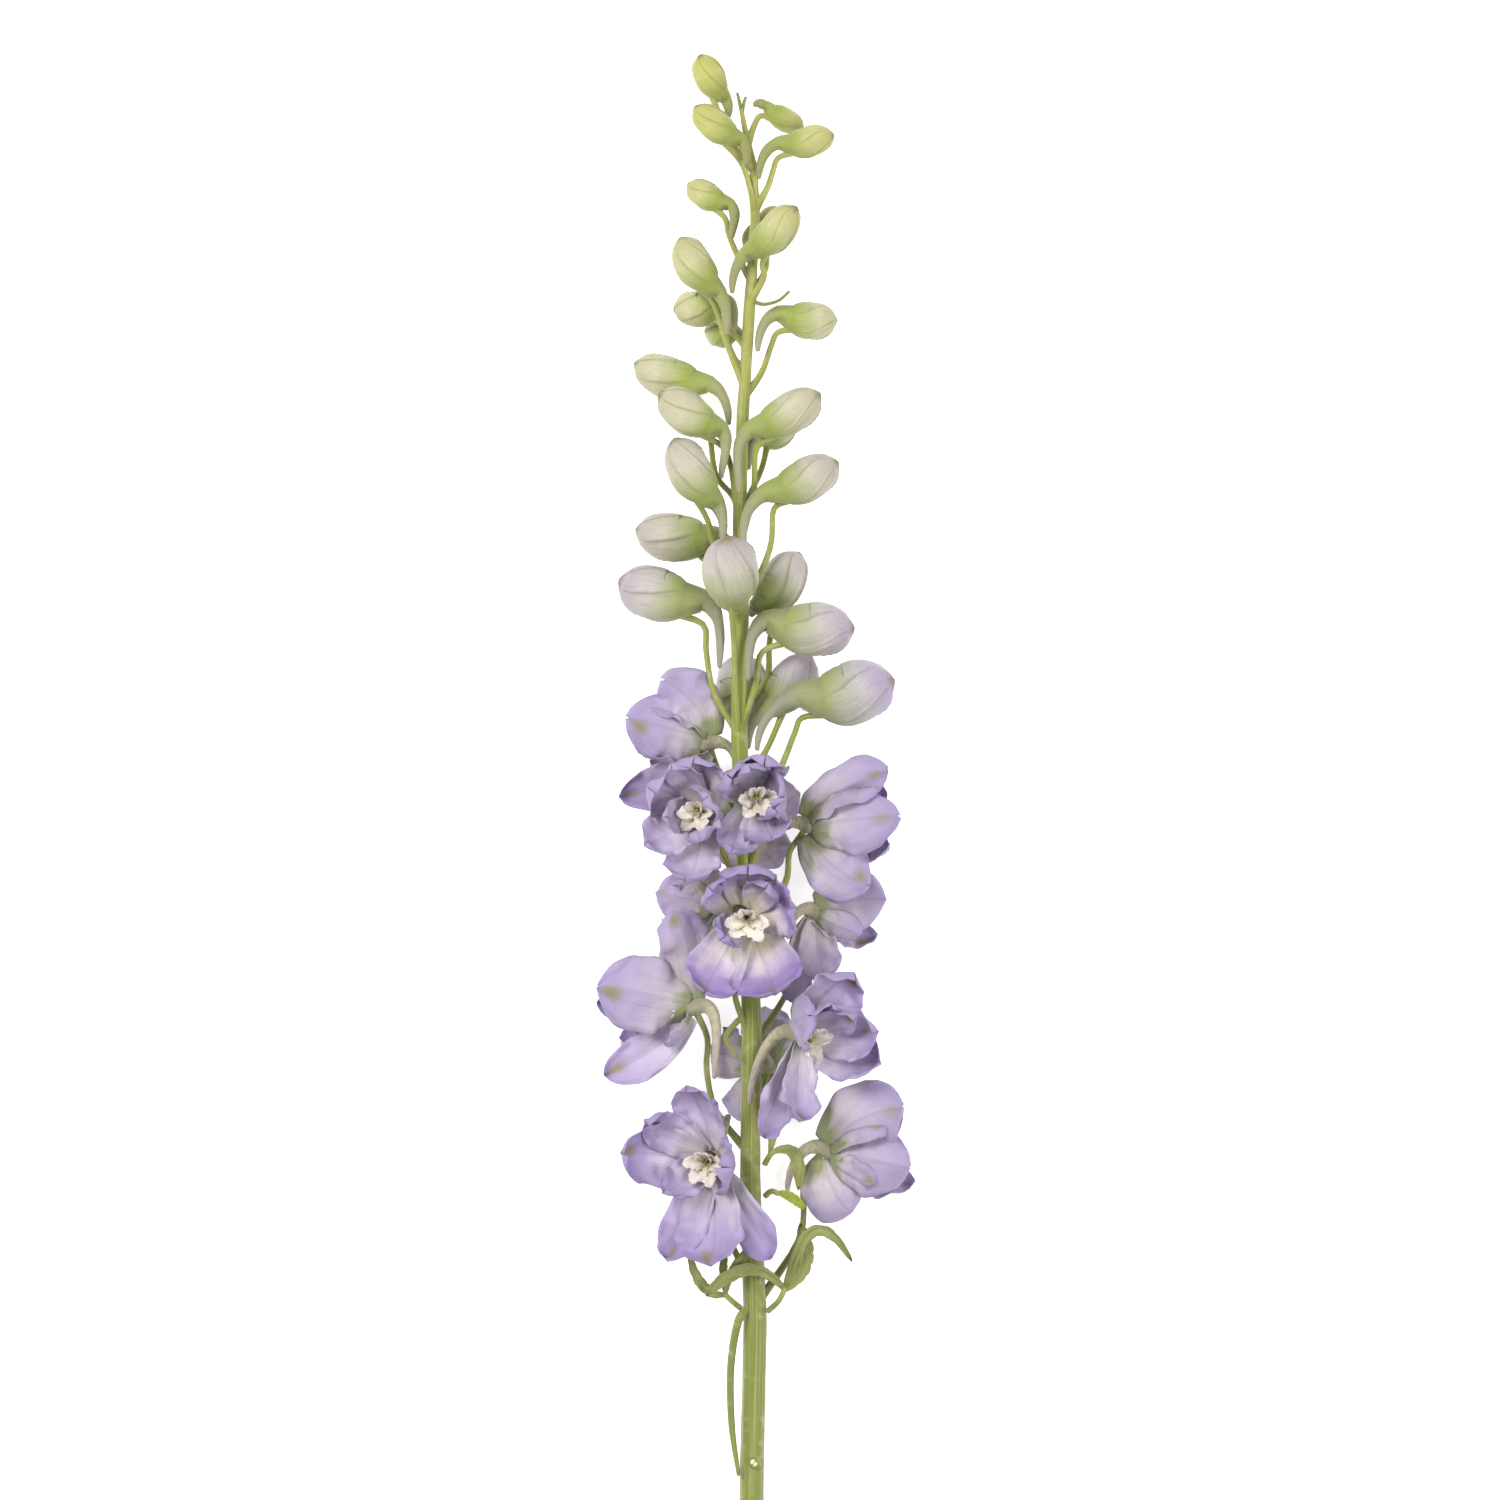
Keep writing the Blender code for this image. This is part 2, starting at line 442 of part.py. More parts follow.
def pedicel(points, clear_of):
    """Side stalk that ends a small gap short of the body it carries."""
    path = smooth_path(points, 40)
    tree = BVHTree.FromObject(clear_of, bpy.context.evaluated_depsgraph_get())
    end = len(path) - 1
    while end > 4:
        nearest, normal, _, distance = tree.find_nearest(path[end])
        outside = (path[end] - nearest).dot(normal) > 0.0
        if outside and distance > GAP + 0.55:
            break
        end -= 1
    steps, sides = (TWIG_STEPS, TWIG_SIDES) if len(points) < 4 else (BENT_STEPS, BENT_SIDES)
    kept = [path[round(i * end / steps)] for i in range(steps + 1)]
    radii = [blend((1.1, 0.9, 0.8, 0.85, 0.6), i / steps) for i in range(steps + 1)]
    return tube(kept, radii, sides)


def bloom_frame(bloom):
    base = place(bloom["base"])
    axis = Vector(bloom["axis"]).normalized()
    return base, axis


def sepal_piece(base, axis, cup, entry, rows, index):
    tip = place(entry[:3])
    reach = tip - base
    forward = axis * reach.dot(axis)
    sideways = reach - forward
    layer = axis * (1.1 * (index % 2))
    bend = base + forward * (1.0 - cup) * 0.8 + sideways * cup * 1.1 + layer
    face = Vector(entry[4]) if len(entry) > 4 else axis - sideways.normalized() * 0.8
    start = base + axis * 0.4 + sideways.normalized() * 1.9 + layer
    wave = 0.02 + 0.012 * (index % 3)
    return blade(start, bend, tip, entry[3], face, 0.2, rows, SEPAL_ACROSS, BLADE_THICK, wave)


def spur_piece(bloom, base, axis):
    up = Vector((0.0, 1.0, 0.0))
    up = (up - axis * up.dot(axis)).normalized()
    end = place(bloom["spur"])
    start = base + axis * 1.5
    reach = (end - start).length
    first = start - axis * (reach * 0.5) + up * (reach * 0.25)
    second = end + Vector((0.0, reach * 0.4, 0.0))
    path = [base + axis * 2.8]
    radii = [2.7]
    for i in range(SPUR_STEPS + 1):
        t = i / SPUR_STEPS
        path.append(bezier(start, first, second, end, t))
        radii.append(blend((2.4, 1.8, 1.4, 1.1, 0.9, 0.6), t))
    return tube(path, radii, 6)


def bloom_sepals(bloom):
    base, axis = bloom_frame(bloom)
    parts = [spur_piece(bloom, base, axis)]
    for index, entry in enumerate(bloom["outer"]):
        parts.append(sepal_piece(base, axis, bloom["cup"], entry, SEPAL_ROWS, index))
    for index, entry in enumerate(bloom["inner"]):
        parts.append(sepal_piece(base + axis * 0.8, axis, bloom["cup"], entry, INNER_ROWS, index))
    return fuse("bloom_" + bloom["name"] + "_sepals", parts)


def bloom_bee(bloom):
    """Small crown of four petals in the middle of the bloom, hollow at the top."""
    base, axis = bloom_frame(bloom)
    foot = base + axis * (3.4 + GAP)
    side = axis.orthogonal().normalized()
    other = axis.cross(side)
    size = bloom["bee"]
    heights = (0.0, 0.35, 0.75, 0.55, 0.3)
    widths = (0.9, 1.3, 2.1, 1.5, 0.6)
    verts = []
    faces = []
    for height, width in zip(heights, widths):
        for k in range(8):
            angle = 2 * math.pi * k / 8
            lobe = 1.18 if k % 2 else 0.82
            out = side * math.cos(angle) + other * math.sin(angle)
            rise = height * size * (lobe if height > 0.5 else 1.0)
            verts.append(foot + axis * rise + out * (width * size / 6.0 * lobe))
    for i in range(4):
        for k in range(8):
            a = i * 8 + k
            b = i * 8 + (k + 1) % 8
            faces.append((a, b, b + 8, a + 8))
    faces.append(tuple(range(7, -1, -1)))
    faces.append(tuple(range(32, 40)))
    return fuse("bloom_" + bloom["name"] + "_bee", [(verts, faces)])


def leaf(entry):
    stalk = smooth_path([place(p) for p in entry["stalk"]], 3)
    parts = [tube(stalk, [0.8, 0.8, 0.8, 0.8], TWIG_SIDES)]
    for base, bend, tip, width, face in entry["blades"]:
        parts.append(blade(place(base), place(bend), place(tip), width, Vector(face), 0.12,
                           (0.0, 0.25, 0.5, 0.75, 1.0), 2, BLADE_THICK, 0.03))
    return fuse(entry["name"], parts)


def stem(carried):
    """Stem with its cut end, thin growths and a side stalk for every bud and bloom."""
    path = [Vector((x - MIDDLE_X, y - MIDDLE_Y, z)) for x, y, z, _ in STEM]
    radii = [r for _, _, _, r in STEM]
    verts, faces = tube(path, radii, 10)
    verts[-2] = path[0].copy()
    parts = [(verts, faces)]
    for points, thin in TWIGS:
        steps = len(points) * 2 - 2
        spread = [blend(thin, i / steps) for i in range(steps + 1)]
        parts.append(tube(smooth_path([place(p) for p in points], steps), spread, TWIG_SIDES))
    for root_y, via, foot, obj in carried:
        root = root_at(root_y)
        middle = [place(p) for p in reversed(via)] or [root.lerp(foot, 0.5) + Vector((0.0, -1.5, 0.0))]
        parts.append(pedicel([root] + middle + [foot], obj))
    return fuse("stem", parts)


def build():
    carried = []
    for name, root_y, base, tip, width, spur_end, via in BUDS:
        start = place(base)
        end = place(tip)
        obj = fuse("bud_" + name, [bud_piece(start, end, width, place(spur_end))])
        finish(obj, "bud")
        axis = (end - start).normalized()
        up = Vector((0.0, 1.0, 0.0))
        up = (up - axis * up.dot(axis)).normalized()
        carried.append((root_y, via, start - up * (width * 0.2) + axis * 2.0, obj))
    for bloom in BLOOMS:
        sepals = bloom_sepals(bloom)
        finish(sepals, "bloom")
        finish(bloom_bee(bloom), "bee")
        base, _ = bloom_frame(bloom)
        carried.append((bloom["root"], bloom["via"], base, sepals))
    for entry in LEAVES:
        finish(leaf(entry), "leaf")
    finish(stem(carried), "stem")


for old in list(bpy.data.objects):
    bpy.data.objects.remove(old)
bpy.context.scene.unit_settings.system = "METRIC"
bpy.context.scene.unit_settings.scale_length = 0.001
build()
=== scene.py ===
# Looks of the delphinium flower spike: fine petals, buds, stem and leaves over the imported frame.
# Tables are in millimetres, as in the part's source, and meshes are written in metres.
# Heights in the tables are measured from the middle of the stem at the same y.

import math
import random

import bpy
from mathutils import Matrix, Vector
from mathutils import noise


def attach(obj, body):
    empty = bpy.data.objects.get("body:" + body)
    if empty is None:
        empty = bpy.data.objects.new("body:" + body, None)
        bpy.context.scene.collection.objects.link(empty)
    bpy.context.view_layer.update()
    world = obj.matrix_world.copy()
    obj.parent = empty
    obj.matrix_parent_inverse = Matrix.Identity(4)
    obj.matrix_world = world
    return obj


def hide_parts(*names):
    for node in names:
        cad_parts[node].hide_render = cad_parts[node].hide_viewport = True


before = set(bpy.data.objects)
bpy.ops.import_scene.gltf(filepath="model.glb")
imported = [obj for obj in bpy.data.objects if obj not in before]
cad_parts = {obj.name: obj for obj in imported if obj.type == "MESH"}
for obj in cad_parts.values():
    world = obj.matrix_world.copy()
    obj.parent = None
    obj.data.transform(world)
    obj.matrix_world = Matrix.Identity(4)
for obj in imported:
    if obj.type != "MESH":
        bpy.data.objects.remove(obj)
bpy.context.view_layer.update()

MM = 0.001
SEED = 7

# Sides and rings of the tubes.
BUD_SIDES = 60
BUD_RINGS = 34
SPUR_SIDES = 20
SPUR_RINGS = 26
PEDICEL_SIDES = 10
PEDICEL_RINGS = 16
TWIG_RINGS = 24
STEM_SIDES = 40
STEM_RINGS = 260

# Share of a bud's rings that lie before its spur.
BUD_SHARE = BUD_RINGS / (BUD_RINGS + SPUR_RINGS)

# Radii from one end to the other: of a bud as shares of half its width, of the others in mm.
BUD_PROFILE = (0.12, 0.60, 0.80, 0.91, 0.97, 1.0, 1.0, 0.98, 0.92, 0.82, 0.66)
BUD_SPUR_END = (1.45, 1.3, 1.15, 0.95, 0.6)
SPUR_PROFILE = (2.3, 2.4, 2.1, 1.8, 1.55, 1.35, 1.2, 1.05, 0.85, 0.5)
PEDICEL_PROFILE = (1.35, 0.95, 0.85, 0.82, 0.85, 1.05)

# How far the rounded end of a tube bulges, as a share of its radius.
END_BULGE = 0.4

# Sepals that wrap a bud: their number, turns along the bud, turn from bud to bud, where in its
# width one dips under the next, height of that step, length of the notched tip, last ring.
BUD_SEPALS = 5.0
BUD_TWIST = 0.9
BUD_TURN = 0.37
SEAM_AT = 0.93
SEAM_STEP = 0.14
NOTCH_LONG = 0.12
BUD_LAST = 0.94

# Share of its colour that a bud keeps, since its thick green body lets little light through,
# and the bud at which green has turned to pale.
BUD_DEPTH = 0.74
MIDDLE_BUD = 12

# Blades: steps along and across, thickness in mm, and as shares of the width the root, the
# ruffled edge, the fold along the middle, the curl of the tip, the teeth and the cup.
SEPAL_STYLE = {"long": 26, "wide": 14, "thick": 0.32, "root": 0.46, "ruffle": 0.11, "fold": 0.055,
               "curl": 0.35, "teeth": 0.0, "cup": 0.2}
BEE_STYLE = {"long": 14, "wide": 10, "thick": 0.25, "root": 0.45, "ruffle": 0.16, "fold": 0.2,
             "curl": 0.9, "teeth": 0.3, "cup": 0.15}
LEAF_STYLE = {"long": 26, "wide": 14, "thick": 0.32, "root": 0.34, "ruffle": 0.06, "fold": 0.10,
              "curl": -0.1, "teeth": 0.12, "cup": 0.12}

# All blades: where they are widest and where they begin to curl, as shares of the length, their
# least half width, and the share of the thickness that is left at the rim.
WIDEST = 0.6
CURL_FROM = 0.55
BLUNT_TIP = 0.035
RIM_THIN = 0.45

# How far up a sepal its foot colour reaches, inside and outside.
FOOT_INSIDE = 0.0
FOOT_OUTSIDE = 0.136

# Scar of a removed shoot, and the length that the stem's colours run along.
SCAR_Y = -201.0
STEM_LONG = 442.0

# Bloom whose lower sepals are cream at the foot, and leaf of a fresher green.
CREAM_LIP = "06"
BRIGHT_LEAF = "leaf_small"

# Lobes of a bee: degrees from the top, least and greatest rise, spread, width, as shares of its size.
BEE_LOBES = ((34, 0.7, 0.9, 0.45, 0.40), (-34, 0.7, 0.9, 0.45, 0.40), (98, 0.5, 0.7, 0.74, 0.52),
             (-98, 0.5, 0.7, 0.74, 0.52), (152, 0.4, 0.6, 0.84, 0.58), (-152, 0.4, 0.6, 0.84, 0.58))
BEE_HAIRS = 22
BEE_STAMENS = 7

# Throats, dark tubes painted as the shade of the hole in a bee's middle: how far beside and above the
# middle, and the radius; two of them stand out dark.
PLAIN_THROAT = (0.0, 0.1, 0.6)
THROATS = {"06": (1.8, 1.4, 1.9), "11": (0.2, 0.8, 1.9)}

# Camera: straight above the middle of the photograph's field, in metres.
CAMERA_HEIGHT = 1.5
PLANT_HEIGHT = 0.022
FIELD_WIDTH = 0.42
SENSOR = 36.0

# Light table and lamps (name, place, power), in metres and watts.
WHITE = (1.0, 1.0, 1.0, 1.0)
FLOOR_HALF = 6.0
FLOOR_TOP = -0.0005
TABLE_LIGHT = 0.6
ROOM_LIGHT = 0.45
LAMP_SIZE = 0.7
LAMPS = (("top_left", (-0.7, 0.5, 1.1), 20.0), ("top_right", (0.8, -0.2, 1.0), 11.0))

# Middle of the whole spike's outline, which becomes the origin of x and y.
MIDDLE_X = 1.75
MIDDLE_Y = -33.50

# Middle line of the stem from the cut end to the tip: x, y, height over the surface, radius.
STEM = (
    (1, -262, 3.5, 3.5),
    (0.5, -210, 7.5, 3.45),
    (1.5, -160.5, 11.8, 3.3),
    (0, -119.5, 15.4, 2.85),
    (0.5, -76, 18.8, 2.75),
    (-0.5, -53, 20.3, 2.6),
    (-1.5, -31, 21.4, 2.45),
    (-3, 3, 22, 2.3),
    (-2.5, 42, 21.5, 2.15),
    (-3, 64.5, 20.5, 1.9),
    (-2, 94, 18.8, 1.7),
    (0, 126.5, 16.6, 1.6),
    (1.5, 148, 15.2, 1.4),
    (1, 164, 14.2, 1.2),
    (-1, 172.5, 13.7, 0.9),
    (-2.5, 180.5, 13.4, 0.6),
)

# Buds: name, pedicel root y, base, tip, width, end of the spur, points along the pedicel.
BUDS = (
    ("01", 163, (-9, 183.5, 3), (-14, 195, 6), 8.7, (-6, 178, 2), ((-5.5, 172, -1.5),)),
    ("02", 151.5, (-5, 170.5, 7), (-15.5, 180, 10), 8.8, (-1, 163.5, 6),
     ((-2.5, 165, 2.5), (0, 158, 1.5))),
    ("03", 171, (5, 180, -3), (15, 176, -6), 6.8, (1.5, 181.5, -2), ((2.5, 178.5, -2),)),
    ("04", 152, (10.5, 169, 4), (23.5, 172.5, 6), 8.7, (2.5, 160.5, 3),
     ((8, 166.5, 2), (6.5, 163, 0.5), (5, 158.5, 0))),
    ("05", 132, (-8, 153, 0), (-17.5, 159.5, -1), 7.8, (-5, 144, 1),
     ((-7, 149.5, -0.5), (-5.8, 144.5, -1.5), (-2.5, 137, -1))),
    ("06", 126, (2, 139, 6), (13, 151.5, 12), 10.2, (-5, 128, 6),
     ((3.4, 136, 4), (3.8, 132.5, 2.5))),
    ("07", 128, (2, 146, -6), (9, 153, -8), 7.2, (-1, 141, -5), ((4.5, 136, -3),)),
    ("08", 102, (-12, 129, 6), (-19.5, 143, 10), 10.6, (-6.5, 116, 6),
     ((-10, 125, 2.5), (-6.8, 115, 1.5), (-4, 107.5, 1))),
    ("09", 113, (-9, 124.5, -4), (-21.5, 124.5, -6), 10.2, (-4.5, 117.5, 1), ((-5.5, 118, -3.5),)),
    ("10", 107, (-5.5, 117, -9), (-11, 119.5, -18), 8.5, (-1.5, 112.5, -7), ()),
    ("11", 99, (10.5, 120.5, -2), (24.5, 121, -3), 10.6, (2.2, 112, 1),
     ((7.8, 117.5, -3), (5.9, 113.5, -3), (3.2, 106, -2))),
    ("12", 67, (-15, 101.5, -4), (-32.5, 109, -6), 11.8, (-6, 91.5, -2),
     ((-12, 92.5, -4.5), (-9.8, 78, -4), (-5, 71.5, -2))),
    ("13", 62, (-11.5, 89, 7), (-25, 99.5, 12), 11.6, (-8, 76, 6),
     ((-7.8, 85, 2.5), (-5.3, 79, 1.5), (-4.2, 71, 1))),
    ("14", 58, (4, 89, 5), (19.5, 99.5, 9), 11.4, (-3, 72, 6), ((1.7, 84, 2), (1, 72, 0.5))),
    ("15", 66, (3.5, 87.5, -6), (11, 93, -16), 10, (-0.5, 79, -4), ((2.8, 78, -6),)),
    ("16", 45, (-12.5, 69.5, 8), (-21, 86.5, 14), 12, (-7.5, 57.5, 7),
     ((-11.8, 64, 4), (-9.6, 56, 2))),
    ("17", 41, (8.5, 71, 3), (24.5, 80.5, 5), 12.2, (-2, 56, 6),
     ((6.7, 67.5, 0.5), (6, 58.5, 0), (3.2, 50, 0))),
    ("18", 38, (-12, 57.5, -3), (-32, 62, -5), 13.4, (-4, 50.5, -3), ((-9.5, 49.5, -4),)),
    ("19", 1.5, (-5, 41, 12), (-5.5, 59, 19), 15.4, (-5, 37, 5),
     ((-4.5, 30, 6), (-3.9, 13, 3.6))),
    ("20", 10, (4, 39, -5), (14, 55.5, -9), 12.4, (0.5, 37.5, -5),
     ((5.4, 29.5, -6), (4.6, 20, -5))),
    ("21", 4, (-17.5, 40, 2), (-36.5, 47.5, 3), 15, (-8.5, 23, 3),
     ((-13, 35, -0.5), (-12.3, 27.5, -0.5), (-10.3, 16.5, 0), (-5.2, 7.5, 0))),
    ("22", 4, (8, 33, 4), (29, 34, 5), 15, (-0.5, 19.5, 7), ((3.2, 27, 2.5), (1.5, 18, 2.5))),
    ("23", 3, (-3, 10, -11.5), (-2, 26.5, -19.5), 14.5, (-2, 8.5, -6), ()),
    ("24", -8.5, (6.5, 11, -5.5), (17, 26.5, -8), 12.5, (-0.5, 0.5, -6), ((4, -1, -4),)),
    ("25", -22, (19, 12.5, 6), (40, 19.5, 8), 17.4, (2, 0, 8),
     ((14.6, 9, 2.5), (12.4, 4.5, 2), (7.6, -7, 1))),
)

# Blooms: each sepal is tip x, y, height and width, and for some the way that its inner side
# faces; cup is the share of a sepal's way that it first spreads sideways before it turns forward.
BLOOMS = (
    {"name": "01", "base": (-11.5, 1.5, -2), "axis": (-1, 0.2, 0.25), "cup": 0.65,
     "outer": ((-23.5, 19.5, 6, 18, (-0.2, 0, -1)), (-33.5, 9, 8, 19, (-0.3, 0, -1)),
               (-30, -3, 0, 14), (-29, 10, -10, 16), (-37, -13, -1, 12, (0.2, 0, 1))),
     "inner": ((-29, 14, 3, 10), (-28, -5, -6, 10)),
     "spur": (-4.5, -3, -4), "root": -24, "via": ((-8.5, -7, -5),), "bee": 4.0},
    {"name": "02", "base": (-12.5, -17, 7), "axis": (-0.35, 0, 1), "cup": 0.65,
     "outer": ((-15, -0.5, 17, 15), (-10.5, -12, 21, 13), (-29.5, -9.5, 16, 15),
               (-30, -27, 14, 15), (-17.5, -38, 15, 16)),
     "inner": ((-22, -3, 20, 10), (-13, -26, 22, 11), (-25, -19, 20, 10)),
     "spur": (-9, -10, -1), "root": -42, "via": ((-9, -26, 3),), "bee": 8.6},
    {"name": "03", "base": (1.5, -13, 8), "axis": (0.06, -0.02, 1), "cup": 0.75,
     "outer": ((4.5, -0.5, 21, 15), (-7.5, -6, 23, 13), (11, -13, 22, 15),
               (6.5, -26, 21, 15), (-6, -29.5, 21, 13)),
     "inner": ((-0.5, -3, 24, 11), (8.5, -17.5, 23, 10)),
     "spur": (2.5, -4.5, 3), "root": -38, "via": ((2.5, -24, 5),), "bee": 8.6},
    {"name": "04", "base": (16, -21.5, 1), "axis": (1, 0.1, 0.2), "cup": 0.65,
     "outer": ((38.5, -6, 4, 14, (0, 0.3, -1)), (40.5, -18, 13, 18),
               (32.5, -37.5, 7, 17, (0, 0, -1)), (37, -9, -10, 16), (39, -29, -6, 16)),
     "inner": ((35, -9.5, 9, 10), (33, -32, -5, 10)),
     "spur": (8, -23.5, 0), "root": -52,
     "via": ((13.8, -24.5, -1), (11, -29, -1.5), (9.6, -38, -1.5)), "bee": 5.0},
    {"name": "05", "base": (17.5, -45.5, -6), "axis": (1, -0.3, -0.3), "cup": 0.6,
     "outer": ((38.5, -42, -4, 17, (0, 0, -1)), (21.5, -64.5, -3, 12, (0, 0, 1)),
               (34, -55, -15, 15), (34, -37, -15, 15), (12, -71, -7, 10, (0, 0, 1))),
     "inner": ((31, -52, -1, 9),),
     "spur": (11.5, -50, -3), "root": -84, "via": ((12, -53, -8), (11.5, -66, -9)), "bee": 5.0},
    {"name": "06", "base": (-1, -46, 9), "axis": (0, -0.1, 1), "cup": 0.7,
     "outer": ((-0.5, -30.5, 22, 16), (13.5, -43, 23, 17), (-12.5, -37, 20, 12),
               (-13.5, -68.5, 16, 17), (7.5, -69, 16, 20)),
     "inner": ((5.5, -36, 24, 11), (-9, -53, 21, 10)),
     "spur": (-1.5, -37, 5), "root": -82, "via": ((-4.5, -66, 5),), "bee": 9.4},
    {"name": "07", "base": (-15.5, -72.5, 2), "axis": (-1, 0.05, 0.1), "cup": 0.6,
     "outer": ((-20.5, -45, 6, 15, (-0.3, 0, -1)), (-42, -66, 11, 21, (0, 0, -1)),
               (-43, -71, -3, 12), (-41, -91, 2, 13, (0, 0, 1)), (-35, -84, -13, 16)),
     "inner": ((-22.5, -83.5, 8, 9), (-33, -61, -10, 16)),
     "spur": (-10, -92, 4), "root": -114,
     "via": ((-12, -81, -2), (-12.2, -90, -3), (-9.5, -101.5, -2)), "bee": 4.5},
    {"name": "08", "base": (-9, -44, -7), "axis": (-0.7, 0.1, -0.6), "cup": 0.6,
     "outer": ((-27, -40, -7, 14), (-19, -31, -11, 14), (-10, -32, -18, 13),
               (-24, -53, -15, 14), (-12, -55, -20, 13)),
     "inner": ((-24, -44, -9, 9),),
     "spur": (-6, -38, -3), "root": -66, "via": ((-6.5, -54, -5),), "bee": 5.0},
    {"name": "09", "base": (13, -80, 8), "axis": (0.6, 0, 0.75), "cup": 0.6,
     "outer": ((29, -61, 12, 17), (36.5, -78, 14, 16), (14.5, -73.5, 23, 16, (0.9, 0, -0.5)),
               (2.5, -107, 14, 12), (37, -88, 10, 16)),
     "inner": ((22, -69, 21, 11), (13, -103.5, 17, 13), (30, -73, 18, 10)),
     "spur": (0, -99, 7), "root": -112, "via": ((7.5, -96, 2),), "bee": 8.2},
    {"name": "10", "base": (21, -113, -2), "axis": (1, -0.2, -0.05), "cup": 0.65,
     "outer": ((42.5, -100, 6, 20, (0, 0, -1)), (44.5, -117, 7, 20, (0, 0, -1)),
               (28.5, -130, 3, 18, (0, 0, -1)), (45.5, -124, -9, 17), (40, -98, -9, 16)),
     "inner": ((38, -105, 6, 10), (35, -122, 6, 10)),
     "spur": (10.5, -124.5, -1), "root": -157,
     "via": ((16.5, -117.5, -5), (15, -122.5, -7), (14, -138, -6)), "bee": 4.2},
    {"name": "11", "base": (-10, -115, 4), "axis": (-0.35, 0, 1), "cup": 0.6,
     "outer": ((-17.5, -92.5, 13, 14), (-37, -112, 13, 18), (-4, -116, 20, 16),
               (-10.5, -144.5, 14, 20), (-23, -143.5, 9, 13)),
     "inner": ((-30, -102.5, 12, 13), (6.5, -141.5, 11, 12), (-25, -124, 17, 11)),
     "spur": (-6, -104, 3), "root": -152, "via": ((-7, -134, 3),), "bee": 9.2},
    {"name": "12", "base": (-2, -20, -8), "axis": (0.05, 0.1, -1), "cup": 0.75,
     "outer": ((-1, -3, -20, 15), (-17, -13, -20, 15), (15, -12, -20, 15),
               (-8, -33, -20, 14), (9, -34, -20, 15)),
     "inner": ((-8, -9, -21, 9),),
     "spur": (-5, -11, -5), "root": -44, "via": ((-2.5, -32, -5),), "bee": 5.0},
    {"name": "13", "base": (5, -90, -7), "axis": (0.15, 0.1, -1), "cup": 0.75,
     "outer": ((4, -72, -17, 14), (-12, -84, -16, 15), (21, -82, -17, 15),
               (-4, -106, -16, 14), (14, -105, -16, 15)),
     "inner": ((9, -79, -17, 9),),
     "spur": (-2, -80, -5), "root": -122, "via": ((2.5, -106, -5),), "bee": 4.5},
)

# Leaves: a stalk path and its leaflets (start, bend, tip, width, facing direction).
LEAVES = (
    {"name": "leaf_left", "stalk": ((-2.8, -157, 2), (-5, -155, 3.5), (-7.5, -152.5, 4.5)),
     "blades": (((-6.8, -153, 4.4), (-14, -154, 6), (-17.5, -141.5, 4), 3.5, (0.8, 0, 1)),
                ((-6.8, -153, 4.2), (-6.5, -145, 8), (2, -138.5, 8), 3.4, (0.6, 0, 1)),
                ((-6.8, -153, 4.2), (-8.5, -148, 1.5), (-7, -141, -1), 3, (0.9, 0, 1)))},
    {"name": "leaf_right", "stalk": ((4.9, -158, 2.5), (8, -155, 3.5), (10, -151, 4)),
     "blades": (((9.7, -151.5, 4), (-1, -138.5, 10), (-12.3, -153, 8.5), 4.8, (0, -0.6, 1)),
                ((9.7, -151.5, 4), (17, -122, 9), (28.8, -143.5, 4), 3.8, (-0.5, -0.4, 1)),
                ((9.7, -151.5, 4), (17.5, -146, 4), (14, -133, 1.5), 6, (0.3, 0.2, 1)))},
    {"name": "leaf_middle", "stalk": ((4.1, -116.5, 0), (5.5, -114, 1), (7, -112.5, 2)),
     "blades": (((6.5, -112.8, 1.8), (15, -109, 4), (13.5, -123.5, 3), 4, (0.3, 0.3, 1)),
                ((5.5, -114, 1), (6, -109, 0.5), (8, -103.5, -1), 2.4, (0, 0, 1)))},
    {"name": "leaf_small", "stalk": ((4.2, -125.5, 0.5), (6, -124, 1.5), (8, -124.5, 3)),
     "blades": (((7.5, -124.4, 2.8), (11, -124, 5), (15.5, -129, 4), 3, (0, 0.5, 1)),)},
)

# Thin growths fused into the stem: path points and radii.
TWIGS = (
    (((-0.5, -156.8, 1.5), (-3.4, -161, 4), (-5.4, -173.5, 3), (-5.2, -190, 2),
      (-3.2, -204.5, 3.6)), (1.3, 1.2, 1.1, 1, 0.6)),
    (((-1, -74.5, 0.5), (-4, -76.5, 2), (-6.8, -81, 3), (-3.5, -86, 5)),
     (1, 0.9, 0.8, 0.5)),
    (((-2.5, 180, 0), (-3, 182.5, 0.3), (-3.6, 185, 0.6)), (0.55, 0.5, 0.4)),
    (((-2.2, 179.5, 0), (-1.8, 182, -0.4), (-1.2, 184, -0.8)), (0.55, 0.5, 0.4)),
    (((1, 126, 0), (4, 125, 3), (8, 126, 4), (11, 128.5, 4.5)),
     (0.6, 0.5, 0.45, 0.4)),
)

# Colours

def srgb(red, green, blue):
    """Colour from the usual 0 to 255 values."""
    def straight(c):
        c /= 255.0
        return c / 12.92 if c <= 0.04045 else ((c + 0.055) / 1.055) ** 2.4
    return (straight(red), straight(green), straight(blue))


def shade(color, factor):
    return tuple(c * factor for c in color)


def blend_looks(first, second, t):
    """Colours part of the way from the first look to the second."""
    return {key: tuple(a + (b - a) * t for a, b in zip(first[key], second[key])) for key in first}


